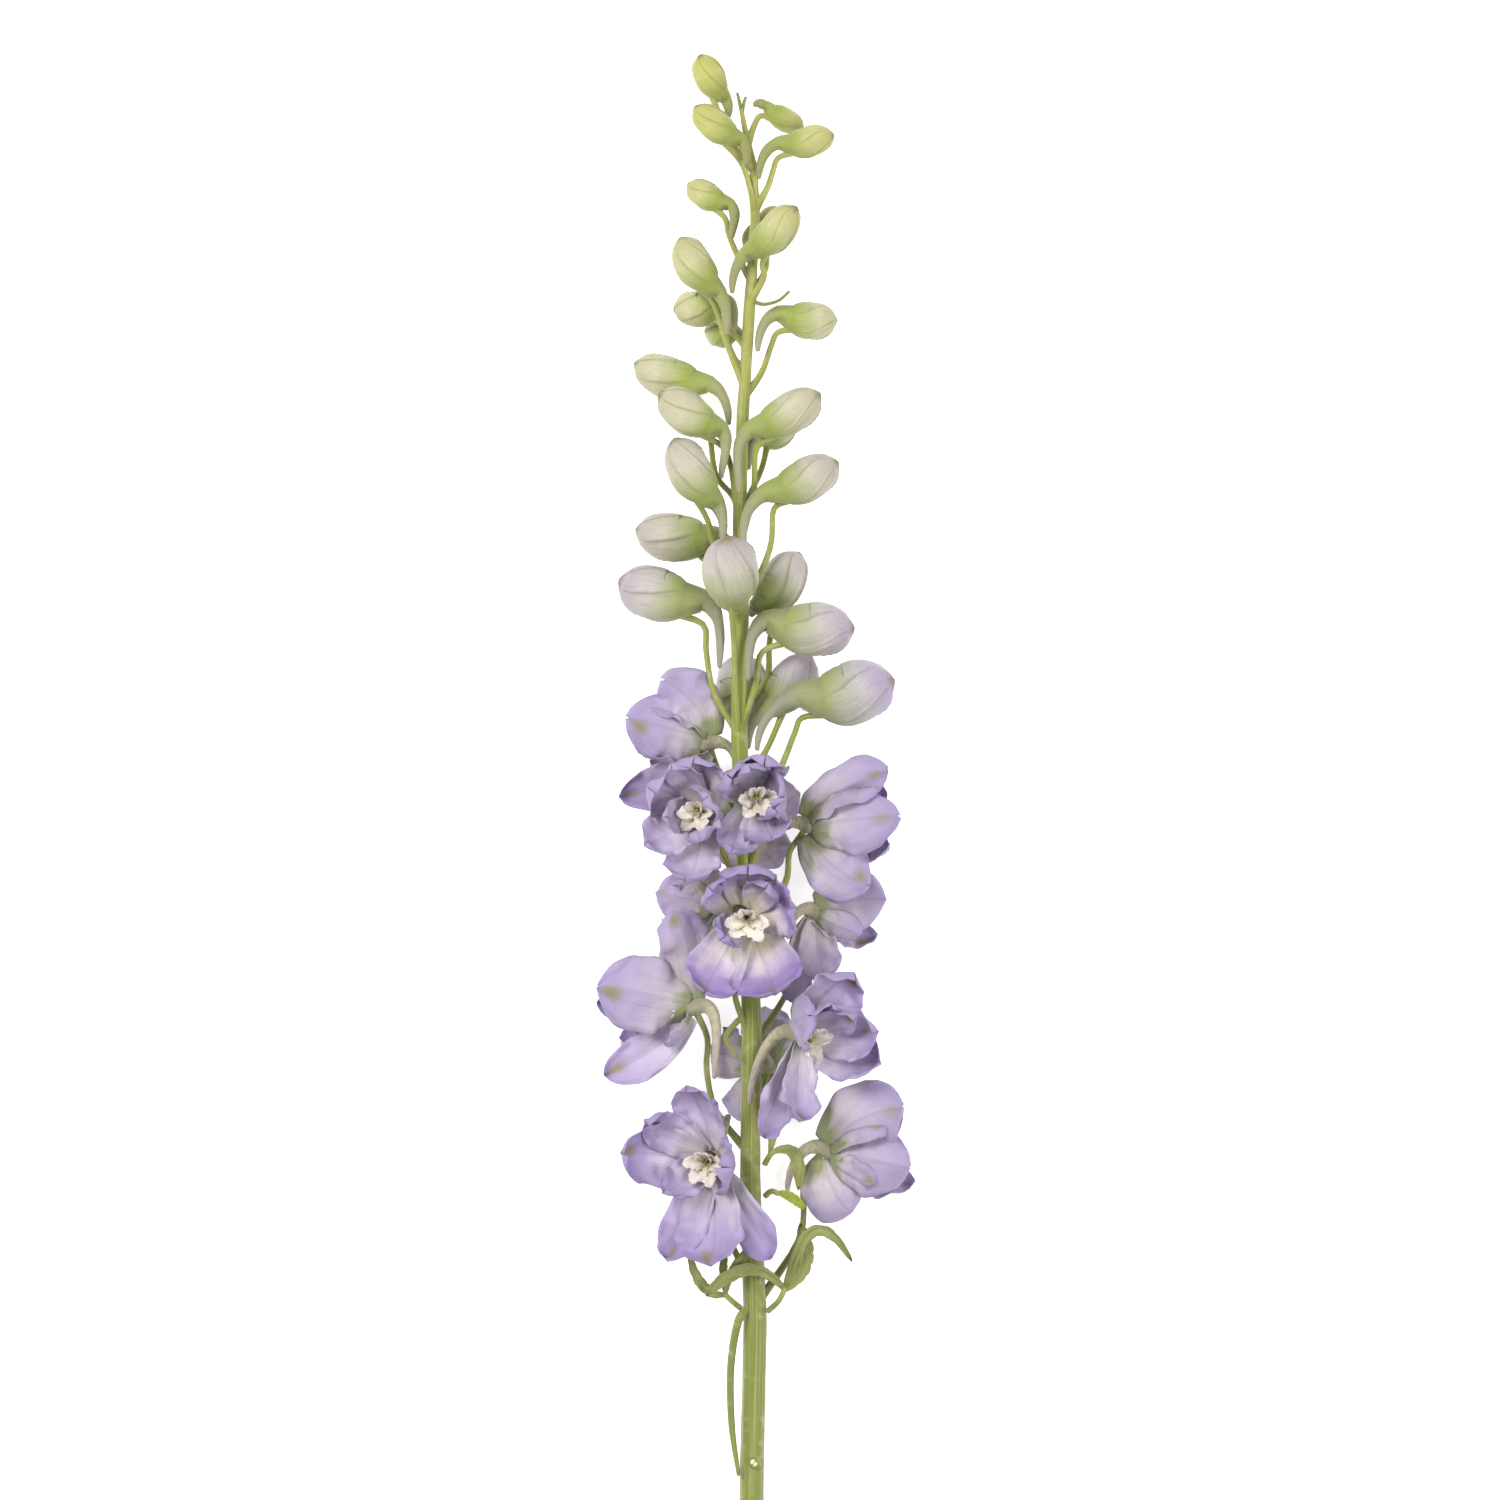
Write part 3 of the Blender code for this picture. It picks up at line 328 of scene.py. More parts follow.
# Insides of the sepals: two common tones and the deep one of the cream-footed bloom.
LAVENDER = {
    "foot": srgb(222, 216, 214), "low": srgb(212, 202, 220), "high": srgb(183, 168, 203),
    "tip": srgb(163, 145, 192), "edge": srgb(156, 138, 189), "vein": srgb(146, 128, 168),
    "mark": srgb(150, 140, 94),
}
PALE = {
    "foot": srgb(228, 222, 214), "low": srgb(224, 215, 226), "high": srgb(203, 192, 212),
    "tip": srgb(184, 169, 203), "edge": srgb(174, 157, 199), "vein": srgb(164, 149, 176),
    "mark": srgb(156, 146, 94),
}
DEEP = {
    "foot": srgb(206, 200, 140), "low": srgb(226, 217, 214), "high": srgb(166, 144, 194),
    "tip": srgb(138, 117, 175), "edge": srgb(138, 117, 176), "vein": srgb(138, 118, 164),
    "mark": srgb(140, 130, 86),
}
# Outsides of the sepals, green at the foot.
BACK = {
    "foot": srgb(126, 142, 36), "low": srgb(202, 194, 194), "high": srgb(185, 172, 196),
    "tip": srgb(171, 156, 193), "edge": srgb(161, 145, 187), "vein": srgb(142, 129, 152),
    "mark": srgb(146, 142, 92),
}
# Buds from the top of the spike down.
YOUNG_BUD = {
    "tip": srgb(124, 130, 54), "front": srgb(198, 196, 104), "body": srgb(208, 206, 120),
    "shoulder": srgb(164, 174, 80), "spur": srgb(164, 168, 96), "end": srgb(156, 156, 104),
    "vein": srgb(146, 148, 78), "seam": srgb(142, 146, 70),
}
PALE_BUD = {
    "tip": srgb(132, 128, 74), "front": srgb(202, 198, 158), "body": srgb(216, 212, 176),
    "shoulder": srgb(164, 182, 72), "spur": srgb(172, 176, 122), "end": srgb(184, 180, 144),
    "vein": srgb(158, 148, 122), "seam": srgb(152, 150, 98),
}
OPEN_BUD = {
    "tip": srgb(134, 122, 92), "front": srgb(184, 168, 200), "body": srgb(206, 199, 202),
    "shoulder": srgb(166, 174, 100), "spur": srgb(160, 162, 126), "end": srgb(178, 172, 146),
    "vein": srgb(144, 130, 146), "seam": srgb(150, 142, 120),
}


def bud_looks(number):
    """The topmost buds are green, the lowest ones show lavender."""
    if number < MIDDLE_BUD:
        looks = blend_looks(YOUNG_BUD, PALE_BUD, (number - 1) / (MIDDLE_BUD - 1))
    else:
        looks = blend_looks(PALE_BUD, OPEN_BUD, (number - MIDDLE_BUD) / (len(BUDS) - MIDDLE_BUD))
    return {key: shade(color, BUD_DEPTH) for key, color in looks.items()}


# Placing points

def axis_at(y):
    """Point on the middle line of the stem at the given y, and the radius there."""
    for low, high in zip(STEM, STEM[1:]):
        if low[1] <= y <= high[1]:
            t = (y - low[1]) / (high[1] - low[1])
            mixed = [a + (b - a) * t for a, b in zip(low, high)]
            return Vector(mixed[:3]), mixed[3]
    end = STEM[0] if y < STEM[0][1] else STEM[-1]
    return Vector(end[:3]), end[3]


def place(point):
    """Turn a table point into a real one: its height is measured from the stem's middle."""
    middle, _ = axis_at(point[1])
    return Vector((point[0] - MIDDLE_X, point[1] - MIDDLE_Y, point[2] + middle.z))


def root_at(y):
    """Real point in the middle of the stem at a y of the tables."""
    middle, _ = axis_at(y)
    return Vector((middle.x - MIDDLE_X, y - MIDDLE_Y, middle.z))


def upward(axis):
    """Direction toward the tip of the spike, square to the axis."""
    up = Vector((0.0, 1.0, 0.0))
    return (up - axis * up.dot(axis)).normalized()


def smooth_path(points, steps):
    """Catmull-Rom curve through the points, with the given number of steps in all."""
    padded = [points[0] * 2 - points[1]] + list(points) + [points[-1] * 2 - points[-2]]
    spans = len(points) - 1
    path = []
    for i in range(steps + 1):
        at = min(i / steps * spans, spans - 1e-6)
        k = int(at)
        t = at - k
        a, b, c, d = padded[k:k + 4]
        path.append(0.5 * (2 * b + (c - a) * t + (2 * a - 5 * b + 4 * c - d) * t ** 2
                           + (3 * b - a - 3 * c + d) * t ** 3))
    return path


def bezier(a, b, c, d, t):
    s = 1.0 - t
    return a * s ** 3 + b * 3 * s * s * t + c * 3 * s * t * t + d * t ** 3


def blend(values, t):
    """Value at t (0 to 1) of evenly spaced numbers."""
    at = min(max(t, 0.0), 1.0) * (len(values) - 1)
    k = min(int(at), len(values) - 2)
    return values[k] + (values[k + 1] - values[k]) * (at - k)


def rough(x, y, z):
    """Smooth noise at a point, from about -1 to 1."""
    return noise.noise(Vector((x, y, z)))


# Building meshes

class Sheet:
    """Vertices, faces, texture coordinates, material and petal numbers of one piece."""

    def __init__(self):
        self.verts = []
        self.faces = []
        self.uvs = []
        self.slots = []
        self.petals = []
        self.petal = 0.0

    def face(self, corners, uvs, slot):
        self.faces.append(tuple(corners))
        self.uvs.append(uvs)
        self.slots.append(slot)
        self.petals.append(self.petal)

    def rest_on_floor(self):
        for vertex in self.verts:
            vertex.z = max(vertex.z, 0.0)


def link(obj):
    bpy.context.scene.collection.objects.link(obj)


def to_object(sheet, materials, node):
    """Make the object that stands in for a node of the frame."""
    name = node + "_look"
    mesh = bpy.data.meshes.new(name)
    mesh.from_pydata([tuple(v * MM) for v in sheet.verts], [], sheet.faces)
    layer = mesh.uv_layers.new(name="UVMap")
    at = 0
    for corners in sheet.uvs:
        for uv in corners:
            layer.data[at].uv = uv
            at += 1
    mesh.attributes.new("petal", "FLOAT", "FACE").data.foreach_set("value", sheet.petals)
    for polygon, slot in zip(mesh.polygons, sheet.slots):
        polygon.material_index = slot
        polygon.use_smooth = True
    mesh.update()
    obj = bpy.data.objects.new(name, mesh)
    link(obj)
    for material in materials:
        mesh.materials.append(material)
    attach(obj, "root")
    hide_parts(node)


def add_tube(sheet, path, radius_of, sides, slot, v_span=(0.0, 1.0), shape=None, cut=None):
    """Closed tube; shape(angle, t) gives a factor on the radius, cut a material for a flat first end."""
    count = len(path)
    first = len(sheet.verts)
    tangents = []
    for i in range(count):
        tangents.append((path[min(i + 1, count - 1)] - path[max(i - 1, 0)]).normalized())
    side = tangents[0].orthogonal().normalized()
    for i, point in enumerate(path):
        t = i / (count - 1)
        side = (side - tangents[i] * side.dot(tangents[i])).normalized()
        other = tangents[i].cross(side)
        for k in range(sides):
            angle = 2 * math.pi * k / sides
            r = radius_of(t) * (shape(angle, t) if shape else 1.0)
            sheet.verts.append(point + side * (math.cos(angle) * r) + other * (math.sin(angle) * r))
    low, high = v_span
    for i in range(count - 1):
        va = low + (high - low) * i / (count - 1)
        vb = low + (high - low) * (i + 1) / (count - 1)
        for k in range(sides):
            a = first + i * sides + k
            b = first + i * sides + (k + 1) % sides
            ua = k / sides
            ub = (k + 1) / sides
            sheet.face((a, b, b + sides, a + sides), ((ua, va), (ub, va), (ub, vb), (ua, vb)), slot)
    for row, v, point, way in ((0, low, path[0], -1.0), (count - 1, high, path[-1], 1.0)):
        tip = len(sheet.verts)
        flat = cut is not None and way < 0
        bulge = 0.0 if flat else way * radius_of(row / (count - 1)) * END_BULGE
        sheet.verts.append(point + tangents[row] * bulge)
        for k in range(sides):
            a = first + row * sides + k
            b = first + row * sides + (k + 1) % sides
            corners = (tip, b, a) if way < 0 else (tip, a, b)
            sheet.face(corners, ((0.5, v), (0.4, v), (0.6, v)), cut if flat else slot)


def blade_half(v, root):
    """Half width of a blade as a share of its greatest, from the root to the tip."""
    if v < WIDEST:
        return root + (1.0 - root) * math.sin(math.pi / 2 * v / WIDEST)
    half = max(1.0 - ((v - WIDEST) / (1.0 - WIDEST)) ** 2.3, 0.0) ** 0.62
    return max(half, BLUNT_TIP)


def add_blade(sheet, base, bend, tip, width, face, seed, style, slots):
    """Leaf-shaped closed sheet with a ruffled edge; slots are for its inner and outer side."""
    grid = []
    for i in range(style["long"] + 1):
        v = (i / style["long"]) ** 0.9
        s = 1.0 - v
        middle = base * s * s + bend * 2 * s * v + tip * v * v
        along = ((bend - base) * 2 * s + (tip - bend) * 2 * v).normalized()
        out = (face - along * face.dot(along)).normalized()
        side = along.cross(out)
        middle = middle + out * (style["curl"] * width * max(v - CURL_FROM, 0.0) ** 2)
        half = blade_half(v, style["root"]) * (width / 2)
        row = []
        for k in range(style["wide"] + 1):
            u = 2.0 * k / style["wide"] - 1.0
            edge = abs(u)
            far_side = float(u > 0.0)
            lift = style["cup"] * width * u * u * (0.35 + 0.65 * v)
            crease = -style["fold"] * width * math.exp(-(u * 5.0) ** 2)
            crease *= math.sin(math.pi * min(v * 1.1, 1.0))
            wave = rough(v * 5.5 + seed, u * 1.9, seed * 1.3)
            fine = rough(v * 13.0 + seed, u * 3.0, seed * 2.1)
            ripple = style["ruffle"] * width * (wave * 1.8 + fine * 0.6)
            ripple *= (0.15 + edge ** 2) * min(v * 2.0, 1.0)
            nick = 1.0 - style["teeth"] * max(0.0, math.sin(v * 40.0 + seed + 3.0 * far_side)) * edge
            uneven = 1.0 + 0.16 * rough(seed * 3.1 + 9.0 * far_side, v * 4.5, 1.7) * edge
            point = middle + side * (u * half * nick * uneven) + out * (lift + crease + ripple)
            point.z = max(point.z, style["thick"])
            row.append(point)
        grid.append(row)
    add_thick_grid(sheet, grid, style["thick"], slots)


def add_thick_grid(sheet, grid, thick, slots):
    """Give a grid of points a thickness, thinner at its rim, and close it all round."""
    rows = len(grid)
    cols = len(grid[0])
    first = len(sheet.verts)
    back = []
    for i in range(rows):
        for k in range(cols):
            du = grid[i][min(k + 1, cols - 1)] - grid[i][max(k - 1, 0)]
            dv = grid[min(i + 1, rows - 1)][k] - grid[max(i - 1, 0)][k]
            normal = du.cross(dv).normalized()
            thin = thick / 2 * (RIM_THIN if k in (0, cols - 1) or i == rows - 1 else 1.0)
            sheet.verts.append(grid[i][k] + normal * thin)
            back.append(grid[i][k] - normal * thin)
    sheet.verts.extend(back)
    count = rows * cols

    def uv(i, k):
        return (k / (cols - 1), i / (rows - 1))

    for i in range(rows - 1):
        for k in range(cols - 1):
            a = first + i * cols + k
            b, c, d = a + 1, a + cols + 1, a + cols
            coords = (uv(i, k), uv(i, k + 1), uv(i + 1, k + 1), uv(i + 1, k))
            sheet.face((a, b, c, d), coords, slots[0])
            sheet.face((a + count, d + count, c + count, b + count),
                       (coords[0], coords[3], coords[2], coords[1]), slots[1])
    rim = [(0, k) for k in range(cols)] + [(i, cols - 1) for i in range(1, rows)]
    rim += [(rows - 1, k) for k in range(cols - 2, -1, -1)] + [(i, 0) for i in range(rows - 2, 0, -1)]
    for n, here in enumerate(rim):
        there = rim[(n + 1) % len(rim)]
        a = first + here[0] * cols + here[1]
        b = first + there[0] * cols + there[1]
        sheet.face((a, a + count, b + count, b), (uv(*here), uv(*here), uv(*there), uv(*there)), slots[0])


# Materials

class Paint:
    """A material's node tree with short calls for the nodes used here."""

    def __init__(self, name):
        self.material = bpy.data.materials.new(name)
        self.material.use_nodes = True
        self.tree = self.material.node_tree
        self.shader = self.tree.nodes["Principled BSDF"]
        self.output = self.tree.nodes["Material Output"]

    def node(self, kind, **settings):
        made = self.tree.nodes.new(kind)
        for key, value in settings.items():
            setattr(made, key, value)
        return made

    def put(self, socket, value):
        if isinstance(value, bpy.types.NodeSocket):
            self.tree.links.new(value, socket)
        elif isinstance(value, tuple) and socket.type == "RGBA":
            socket.default_value = value + (1.0,)
        else:
            socket.default_value = value

    def uv(self):
        parts = self.node("ShaderNodeSeparateXYZ")
        self.put(parts.inputs[0], self.node("ShaderNodeTexCoord").outputs["UV"])
        return parts.outputs[0], parts.outputs[1]

    def vector(self, x, y, z=0.0):
        made = self.node("ShaderNodeCombineXYZ")
        for socket, value in zip(made.inputs, (x, y, z)):
            self.put(socket, value)
        return made.outputs[0]

    def place(self):
        return self.node("ShaderNodeTexCoord").outputs["Object"]

    def petal(self):
        """Number of the petal, and a random value that goes with it."""
        number = self.node("ShaderNodeAttribute", attribute_name="petal").outputs["Fac"]
        chance = self.node("ShaderNodeTexWhiteNoise", noise_dimensions="1D")
        self.put(chance.inputs["W"], number)
        return number, chance.outputs["Value"]

    def math(self, operation, a, b=0.0):
        made = self.node("ShaderNodeMath", operation=operation)
        self.put(made.inputs[0], a)
        self.put(made.inputs[1], b)
        return made.outputs[0]

    def plus(self, a, b):
        return self.math("ADD", a, b)

    def minus(self, a, b):
        return self.math("SUBTRACT", a, b)

    def times(self, a, b):
        return self.math("MULTIPLY", a, b)

    def off_middle(self, u):
        """Distance from the middle line of a blade."""
        return self.math("ABSOLUTE", self.minus(u, 0.5))

    def noise(self, vector, scale, detail=2.0):
        made = self.node("ShaderNodeTexNoise")
        self.put(made.inputs["Vector"], vector)
        made.inputs["Scale"].default_value = scale
        made.inputs["Detail"].default_value = detail
        return made.outputs[0]

    def streaks(self, u, v, across, along, seed=0.0, detail=2.0):
        """Noise over the texture coordinates, so many waves across and along."""
        return self.noise(self.vector(self.times(u, across), self.times(v, along), seed), 1.0, detail)

    def wobble(self, value, grain, amount):
        """The value, moved either way by the noise."""
        return self.plus(value, self.times(self.minus(grain, 0.5), amount))

    def steps(self, value, stops):
        """Colour ramp from (position, colour) pairs; a plain number stands for a grey."""
        made = self.node("ShaderNodeValToRGB")
        ramp = made.color_ramp
        while len(ramp.elements) < len(stops):
            ramp.elements.new(0.5)
        for element, (position, color) in zip(ramp.elements, stops):
            element.position = position
            element.color = tuple(color) + (1.0,) if isinstance(color, tuple) else (color,) * 3 + (1.0,)
        self.put(made.inputs[0], value)
        return made.outputs[0]

    def mix(self, factor, a, b):
        made = self.node("ShaderNodeMix", data_type="RGBA")
        for socket, value in ((made.inputs[0], factor), (made.inputs[6], a), (made.inputs[7], b)):
            self.put(socket, value)
        return made.outputs[2]

    def bump(self, height, distance, strength=0.5):
        made = self.node("ShaderNodeBump")
        self.put(made.inputs["Height"], height)
        made.inputs["Distance"].default_value = distance
        made.inputs["Strength"].default_value = strength
        self.tree.links.new(made.outputs[0], self.shader.inputs["Normal"])

    def finish(self, color, roughness, glow=0.0, sheen=0.0):
        """Close the material; glow is the share of light that shines through from behind."""
        self.put(self.shader.inputs["Base Color"], color)
        self.put(self.shader.inputs["Roughness"], roughness)
        self.shader.inputs["Specular IOR Level"].default_value = 0.3
        self.shader.inputs["Sheen Weight"].default_value = sheen
        if glow > 0.0:
            thin = self.node("ShaderNodeBsdfTranslucent")
            self.put(thin.inputs["Color"], color)
            both = self.node("ShaderNodeMixShader")
            both.inputs[0].default_value = glow
            self.tree.links.new(self.shader.outputs[0], both.inputs[1])
            self.tree.links.new(thin.outputs[0], both.inputs[2])
            self.tree.links.new(both.outputs[0], self.output.inputs["Surface"])
        return self.material


def sepal_material(name, looks, foot_end, seed):
    """Petal with its own foot colour up to foot_end, fanned veins and a dull green spot near the tip."""
    paint = Paint(name)
    u, v = paint.uv()
    number, chance = paint.petal()
    seed = paint.plus(paint.times(number, 5.7), seed)
    off = paint.off_middle(u)
    fan = paint.streaks(u, v, 30.0, 2.2, seed)
    wide = paint.streaks(u, v, 3.0, 2.5, seed)
    reach = paint.wobble(v, wide, 0.7)
    color = paint.steps(reach, ((foot_end, looks["foot"]), (0.28, looks["low"]), (0.6, looks["high"]),
                                (1.0, looks["tip"])))
    margin = paint.steps(off, ((0.30, 0.0), (0.5, 1.0)))
    color = paint.mix(paint.times(margin, 0.35), color, looks["edge"])
    veins = paint.steps(fan, ((0.0, 1.0), (0.40, 1.0), (0.47, 0.0), (0.52, 0.0), (0.60, 0.7)))
    veins = paint.times(veins, paint.steps(v, ((0.0, 0.9), (0.6, 0.45), (0.95, 0.1))))
    color = paint.mix(paint.times(veins, 0.28), color, looks["vein"])
    rib = paint.times(paint.steps(off, ((0.0, 1.0), (0.05, 0.0))), 0.35)
    color = paint.mix(rib, color, looks["vein"])
    spot_u = paint.plus(paint.times(chance, 0.36), 0.32)
    across = paint.times(paint.minus(u, spot_u), 1.6)
    down = paint.times(paint.minus(v, 0.88), 2.2)
    far = paint.math("SQRT", paint.plus(paint.times(across, across), paint.times(down, down)))
    ragged = paint.wobble(far, wide, 0.3)
    spot = paint.times(paint.steps(ragged, ((0.06, 0.85), (0.32, 0.0))),
                       paint.steps(chance, ((0.25, 0.15), (0.5, 1.0))))
    color = paint.mix(spot, color, looks["mark"])
    grain = paint.times(paint.noise(paint.place(), 900.0), 0.6)
    paint.bump(paint.plus(fan, grain), 0.0004, 0.45)
    return paint.finish(color, roughness=0.62, glow=0.32, sheen=0.15)


def bud_material(name, looks, number):
    """Bud: green tip and shoulder, pale body with long veins and the seams of its sepals."""
    paint = Paint(name)
    u, v = paint.uv()
    seed = number * 1.3
    reach = paint.wobble(v, paint.streaks(u, v, 4.0, 4.0, seed), 0.16)
    color = paint.steps(reach, ((0.0, looks["tip"]), (0.06, looks["front"]), (0.28, looks["body"]),
                                (0.52, looks["shoulder"]), (0.72, looks["spur"]), (1.0, looks["end"])))
    turned = paint.plus(u, paint.times(v, 0.25))
    lines = paint.streaks(turned, v, 55.0, 5.0, seed)
    veins = paint.steps(lines, ((0.36, 0.8), (0.46, 0.0), (0.55, 0.0), (0.66, 0.6)))
    color = paint.mix(paint.times(veins, 0.3), color, looks["vein"])
    twist = paint.times(v, BUD_TWIST / BUD_SHARE)
    turn = paint.plus(paint.plus(paint.times(u, BUD_SEPALS), twist), number * BUD_TURN)
    seam = paint.steps(paint.math("FRACT", turn), ((0.0, 0.0), (0.88, 0.0), (0.96, 0.75), (1.0, 0.1)))
    fade = paint.steps(v, ((0.0, 1.0), (BUD_SHARE * 0.8, 0.7), (BUD_SHARE, 0.0)))
    color = paint.mix(paint.times(seam, fade), color, looks["seam"])
    fine = paint.noise(paint.place(), 1400.0, 3.0)
    color = paint.mix(paint.times(fine, 0.12), color, looks["vein"])
    wrinkles = paint.streaks(u, v, 9.0, 34.0, seed, 4.0)
    creased = paint.times(wrinkles, paint.steps(v, ((BUD_SHARE, 0.0), (BUD_SHARE + 0.1, 1.0))))
    color = paint.mix(paint.times(creased, 0.35), color, looks["vein"])
    paint.bump(paint.plus(paint.plus(lines, fine), paint.times(creased, 3.0)), 0.0003)
    return paint.finish(color, roughness=0.6, glow=0.12, sheen=0.2)


def spur_material(name, upper, lower, seed):
    """Wrinkled spur skin that greys toward its end, with painted shade in the troughs of its wrinkles."""
    paint = Paint(name)
    u, v = paint.uv()
    wrinkles = paint.streaks(u, v, 9.0, 16.0, seed, 4.0)
    color = paint.steps(v, ((0.0, shade(upper, 0.6)), (0.14, shade(upper, 0.62)), (0.3, upper), (0.5, upper),
                            (1.0, lower)))
    # Painted shade: where the wrinkle relief is low, the skin takes a darkened copy of the lower colour.
    color = paint.mix(paint.steps(wrinkles, ((0.35, 0.5), (0.6, 0.0))), color, shade(lower, 0.62))
    paint.bump(wrinkles, 0.0006, 0.8)
    return paint.finish(color, roughness=0.7, glow=0.08, sheen=0.2)


def stem_material():
    """Green stem: darker below, yellower above, with fine lengthwise ribs whose grooves carry painted shade
    and whose crests are paler, and pale dust.
    """
    paint = Paint("stem_green")
    u, v = paint.uv()
    ribs = paint.streaks(u, v, 34.0, 9.0, 0.0, 3.0)
    spots = paint.noise(paint.place(), 260.0, 4.0)
    # The darker green about a third of the way up is partly the stem's own colour and partly painted shade.
    color = paint.steps(v, ((0.0, srgb(126, 132, 64)), (0.35, srgb(116, 122, 54)), (0.6, srgb(138, 144, 62)),
                            (0.93, srgb(158, 158, 78)), (1.0, srgb(160, 156, 84))))
    # Painted shade in the rib grooves, where the bump is low; the next line makes the crests paler where it
    # is high.
    color = paint.mix(paint.steps(ribs, ((0.35, 0.5), (0.62, 0.0))), color, srgb(104, 112, 50))
    color = paint.mix(paint.steps(ribs, ((0.52, 0.0), (0.75, 0.45))), color, srgb(188, 188, 134))
    color = paint.mix(paint.steps(spots, ((0.55, 0.0), (0.75, 0.4))), color, srgb(184, 184, 140))
    paint.bump(paint.plus(ribs, paint.times(spots, 0.5)), 0.0005, 0.6)
    return paint.finish(color, roughness=0.55, sheen=0.25)


def leaf_material(name, dark, light, seed, glow):
    """Leaf with a pale midrib, slanting side veins and a withered tip."""
    paint = Paint(name)
    u, v = paint.uv()
    off = paint.off_middle(u)
    color = paint.steps(paint.streaks(u, v, 3.0, 4.0, seed, 3.0), ((0.3, dark), (0.7, light)))
    slant = paint.plus(paint.times(v, 9.0), paint.times(off, -9.0))
    sides = paint.node("ShaderNodeTexWave")
    paint.put(sides.inputs["Vector"], paint.vector(slant, 0.0))
    sides.inputs["Scale"].default_value = 0.32
    sides.inputs["Distortion"].default_value = 0.6
    color = paint.mix(paint.steps(sides.outputs[0], ((0.86, 0.0), (1.0, 0.55))), color, shade(light, 1.25))
    color = paint.mix(paint.steps(off, ((0.0, 0.7), (0.05, 0.0))), color, shade(light, 1.3))
    color = paint.mix(paint.steps(v, ((0.93, 0.0), (1.0, 0.7))), color, srgb(120, 84, 50))
    fine = paint.noise(paint.place(), 1600.0, 3.0)
    paint.bump(paint.plus(sides.outputs[0], fine), 0.0003)
    return paint.finish(color, roughness=0.55, glow=glow, sheen=0.15)


def bee_material():
    """Cream petals with a greenish foot."""
    paint = Paint("bee_cream")
    u, v = paint.uv()
    reach = paint.wobble(v, paint.streaks(u, v, 6.0, 5.0, 0.0, 3.0), 0.5)
    color = paint.steps(reach, ((0.0, srgb(168, 162, 92)), (0.22, srgb(214, 204, 170)),
                                (0.6, srgb(234, 227, 212)), (1.0, srgb(232, 222, 220))))
    paint.bump(paint.noise(paint.place(), 1500.0, 3.0), 0.0003)
    return paint.finish(color, roughness=0.7, glow=0.25, sheen=0.2)


def grain_material(name, stops, scale, distance, roughness):
    """Two tones broken up by fine noise, for the cut end and the small parts inside a bloom, one of them the
    painted shade of the throat.
    """
    paint = Paint(name)
    grain = paint.noise(paint.place(), scale, 3.0)
    paint.bump(grain, distance)
    return paint.finish(paint.steps(grain, stops), roughness)


# Parts of the plant

def make_bud(index, entry, material):
    """Bud of overlapping sepals that runs on into its curved spur, as one swept body."""
    name, _, base, tip, width, spur_end, _ = entry
    base = place(base)
    tip = place(tip)
    spur_end = place(spur_end)
    axis = (tip - base).normalized()
    up = upward(axis)
    path = []
    radii = []
    for i in range(BUD_RINGS + 1):
        t = BUD_LAST * (i / BUD_RINGS) ** 1.15
        path.append(tip.lerp(base, t) + up * (max(t - 0.6, 0.0) * width * 0.35))
        radii.append(max(blend(BUD_PROFILE, t / BUD_LAST), 0.05) * width / 2)
    start = base + up * (width * 0.2)
    reach = (spur_end - start).length
    first = start - axis * (reach * 0.45) + up * (reach * 0.12)
    second = spur_end + Vector((0.0, reach * 0.35, 0.0))
    near = 0.30 * width / 2 + 0.35
    spur_profile = (0.5 * width / 2, near, (near + 1.5) / 2) + BUD_SPUR_END
    for i in range(1, SPUR_RINGS + 1):
        path.append(bezier(start, first, second, spur_end, 0.08 + 0.92 * i / SPUR_RINGS))
        radii.append(blend(spur_profile, i / SPUR_RINGS))
    total = len(path) - 1

    def radius(t):
        return radii[min(int(t * total + 0.5), total)]

    def overlap(angle, t):
        if t > BUD_SHARE:
            return 1.0 + 0.05 * rough(angle * 2.0, t * 30.0, index)
        v = t / BUD_SHARE
        turn = (angle / (2 * math.pi) * BUD_SEPALS + v * BUD_TWIST + index * BUD_TURN) % 1.0
        step = turn - 0.5
        if turn >= SEAM_AT:
            step = SEAM_AT - 0.5 - (turn - SEAM_AT) / (1.0 - SEAM_AT) * SEAM_AT
        fade = math.sin(math.pi * min(v * 0.97 + 0.03, 1.0)) ** 0.6
        notch = 0.25 * max(0.0, NOTCH_LONG - v) / NOTCH_LONG * math.cos(angle * BUD_SEPALS + index)
        lumps = 0.03 * rough(math.cos(angle) * 1.5, math.sin(angle) * 1.5, v * 3.0 + index)
        return 1.0 + SEAM_STEP * step * fade + notch + lumps

    sheet = Sheet()
    add_tube(sheet, path, radius, BUD_SIDES, 0, shape=overlap)
    sheet.rest_on_floor()
    to_object(sheet, [material], "bud_" + name)


def add_sepal(sheet, base, axis, cup, entry, index, seed):
    """Sepal that first spreads sideways and then turns forward, every second one in front."""
    tip = place(entry[:3])
    reach = tip - base
    forward = axis * reach.dot(axis)
    sideways = reach - forward
    layer = axis * (1.1 * (index % 2))
    bend = base + forward * (1.0 - cup) * 0.8 + sideways * cup * 1.1 + layer
    face = Vector(entry[4]) if len(entry) > 4 else axis - sideways.normalized() * 0.8
    start = base + axis * 0.4 + sideways.normalized() * 1.9 + layer
    add_blade(sheet, start, bend, tip, entry[3], face, seed + index * 1.7, SEPAL_STYLE, (0, 1))


